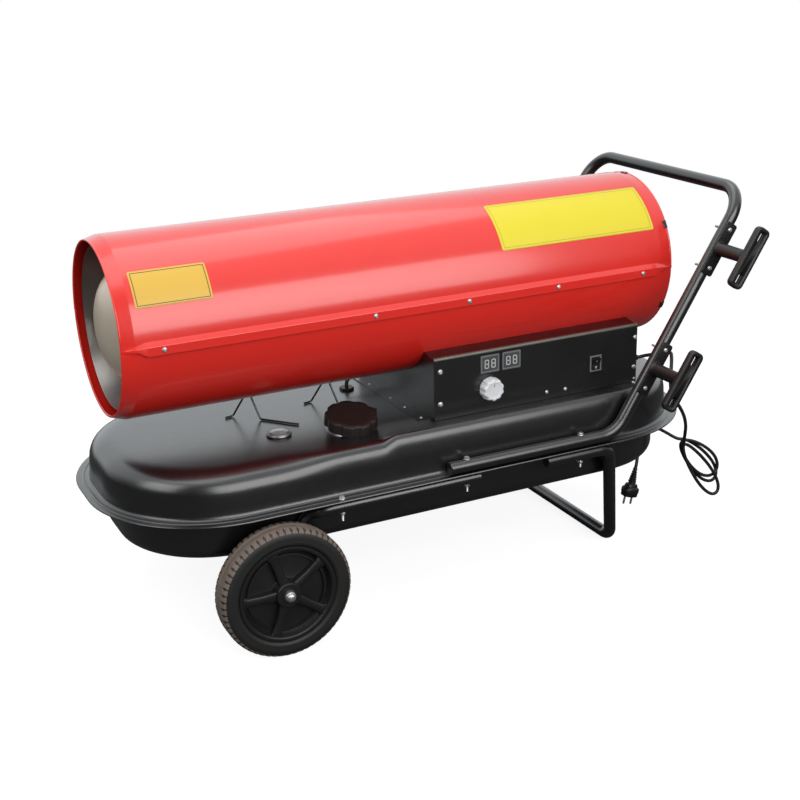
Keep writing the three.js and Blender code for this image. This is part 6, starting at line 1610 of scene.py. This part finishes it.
number = 0
for sign in (-1, 1):
    bolt(number, 354.8, sign * HANDLE_Y, 271.6, 227, WHEEL_TUBE_Z - WHEEL_TUBE - 6.6)
    bolt(number + 1, 613.3, sign * HANDLE_Y, HANDLE_Z + TUBE + 1.2, 230, WHEEL_TUBE_Z - WHEEL_TUBE - 6.6)
    bolt(number + 2, 868.5, sign * HANDLE_Y, HANDLE_Z + TUBE + 1.2, 228, FOOT_Z - TUBE - 6.6)
    number += 3
print("flange bolts:", number)

# %% [markdown]
# ## Light
# The photograph was lit as a product shot: a white surround, a large soft light overhead that draws the broad
# pale line along the shell, and a weaker one from the left. The surround is white for the camera. Glossy rays
# see it white above and behind the machine and dark in front, as in a studio with a white backdrop, so the
# black parts keep their depth. The plain light that it sends on the machine is a soft grey, stronger from
# above. A picture of a studio could serve as a surround, but two soft ramps do the same and read no file.

# %% Surround
world = bpy.data.worlds.new("surround")
bpy.context.scene.world = world
world.use_nodes = True
world.cycles.sampling_method = "NONE"
tree = world.node_tree
tree.nodes.clear()


def level(vector, direction, low, high, dark, light):
    """A strength that rises from dark to light as a direction turns towards the given one."""
    dot = tree.nodes.new("ShaderNodeVectorMath")
    dot.operation = "DOT_PRODUCT"
    dot.inputs[1].default_value = Vector(direction).normalized()
    tree.links.new(vector, dot.inputs[0])
    ramp = tree.nodes.new("ShaderNodeMapRange")
    ramp.interpolation_type = "SMOOTHSTEP"
    for socket, value in (("From Min", low), ("From Max", high), ("To Min", dark), ("To Max", light)):
        ramp.inputs[socket].default_value = value
    tree.links.new(dot.outputs["Value"], ramp.inputs["Value"])
    return ramp.outputs["Result"]


def surround_light(strength, colour=(1, 1, 1)):
    shader = tree.nodes.new("ShaderNodeBackground")
    shader.inputs["Color"].default_value = (*colour, 1)
    if isinstance(strength, float):
        shader.inputs["Strength"].default_value = strength
    else:
        tree.links.new(strength, shader.inputs["Strength"])
    return shader.outputs["Background"]


def choose(share, without, given):
    mix = tree.nodes.new("ShaderNodeMixShader")
    tree.links.new(share, mix.inputs["Fac"])
    tree.links.new(without, mix.inputs[1])
    tree.links.new(given, mix.inputs[2])
    return mix.outputs["Shader"]


toward = tree.nodes.new("ShaderNodeTexCoord").outputs["Generated"]
rays = tree.nodes.new("ShaderNodeLightPath")
plain = surround_light(level(toward, (0, 0, 1), -0.6, 0.8, 0.2, 0.5))
gloss = surround_light(level(toward, (0.26, 0.54, 0.8), 0.0, 0.55, 0.05, 1.0), (0.93, 0.975, 1))
white = surround_light(1.0)
seen = choose(rays.outputs["Is Glossy Ray"], plain, gloss)
seen = choose(rays.outputs["Is Transmission Ray"], seen, white)
seen = choose(rays.outputs["Is Camera Ray"], seen, white)
out = tree.nodes.new("ShaderNodeOutputWorld")
tree.links.new(seen, out.inputs["Surface"])
bpy.context.scene.view_settings.view_transform = "Standard"
print("nodes of the surround:", len(tree.nodes))

# %% [markdown]
# The floor is a wide plane that takes the soft shadow of the machine near it, and turns into the white of the
# surround further away, so that no edge of it is seen. A curved backdrop is the usual way, but a plane whose
# finish fades out by distance works from every side.

# %% Floor
FLOOR_HALF = 9.0
FLOOR_LEVEL = -0.0006
FLOOR_SHADOW = (1.1, 2.6)  # metres from the machine's middle over which the floor turns white
floor_mesh = bpy.data.meshes.new("floor")
middle = at(560, 0, 0)
floor_corners = [(middle.x + x * FLOOR_HALF, middle.y + y * FLOOR_HALF, FLOOR_LEVEL)
                 for x, y in ((-1, -1), (1, -1), (1, 1), (-1, 1))]
floor_mesh.from_pydata(floor_corners, [], [(0, 1, 2, 3)])
floor = bpy.data.objects.new("floor", floor_mesh)
bpy.context.scene.collection.objects.link(floor)
floor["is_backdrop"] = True
floor_finish = bpy.data.materials.new("pale_floor")
floor_finish.use_nodes = True
tree = floor_finish.node_tree
tree.nodes.clear()
place = tree.nodes.new("ShaderNodeTexCoord").outputs["Object"]
distance = tree.nodes.new("ShaderNodeVectorMath")
distance.operation = "DISTANCE"
distance.inputs[1].default_value = middle
tree.links.new(place, distance.inputs[0])
far = tree.nodes.new("ShaderNodeMapRange")
far.interpolation_type = "SMOOTHSTEP"
far.inputs["From Min"].default_value = FLOOR_SHADOW[0]
far.inputs["From Max"].default_value = FLOOR_SHADOW[1]
tree.links.new(distance.outputs["Value"], far.inputs["Value"])
matt = tree.nodes.new("ShaderNodeBsdfDiffuse")
matt.inputs["Color"].default_value = (0.3, 0.3, 0.3, 1)
glow = tree.nodes.new("ShaderNodeEmission")
glow.inputs["Strength"].default_value = 0.86
near_look = tree.nodes.new("ShaderNodeAddShader")
tree.links.new(matt.outputs["BSDF"], near_look.inputs[0])
tree.links.new(glow.outputs["Emission"], near_look.inputs[1])
white_look = tree.nodes.new("ShaderNodeEmission")
plain_look = tree.nodes.new("ShaderNodeBsdfDiffuse")
plain_look.inputs["Color"].default_value = (0.075, 0.075, 0.075, 1)
rays = tree.nodes.new("ShaderNodeLightPath")
seen = choose(far.outputs["Result"], near_look.outputs["Shader"], white_look.outputs["Emission"])
shown = choose(rays.outputs["Is Camera Ray"], plain_look.outputs["BSDF"], seen)
tree.links.new(shown, tree.nodes.new("ShaderNodeOutputMaterial").inputs["Surface"])
floor_mesh.materials.append(floor_finish)
print("floor:", 2 * FLOOR_HALF, "m wide, white from", FLOOR_SHADOW[1], "m outwards")

# %% [markdown]
# Three lamps shape the machine. They could be suns or spots, but area lamps, large and far away, give the
# soft light of a studio: their highlights are broad and have no hard edge.

# %% Lamps
def soft_lamp(name, place, target, width, height, watts):
    data = bpy.data.lights.new(name, "AREA")
    data.shape = "RECTANGLE"
    data.size = width
    data.size_y = height
    data.energy = watts
    lamp = bpy.data.objects.new(name, data)
    bpy.context.scene.collection.objects.link(lamp)
    lamp.location = at(*place)
    aim = at(*target) - lamp.location
    lamp.rotation_euler = aim.to_track_quat("-Z", "Y").to_euler()
    return lamp


soft_lamp("overhead", (450, 200, 2700), (560, 0, 500), 3.2, 1.6, 22)
soft_lamp("left", (-2200, -700, 2000), (400, 0, 400), 1.8, 1.8, 30)
soft_lamp("front", (900, -3000, 1700), (600, 0, 400), 3.3, 2.0, 78)
print("lamps:", len(bpy.data.lights))

# %% [markdown]
# ## Finish
# The size of the dressed machine is printed, so that anyone can compare it with the mechanical model and see
# that the dressing hasn't outgrown it.

# %% Measure and finish
low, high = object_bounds()
print("dressed size, m:", [round(b - a, 4) for a, b in zip(low, high)])
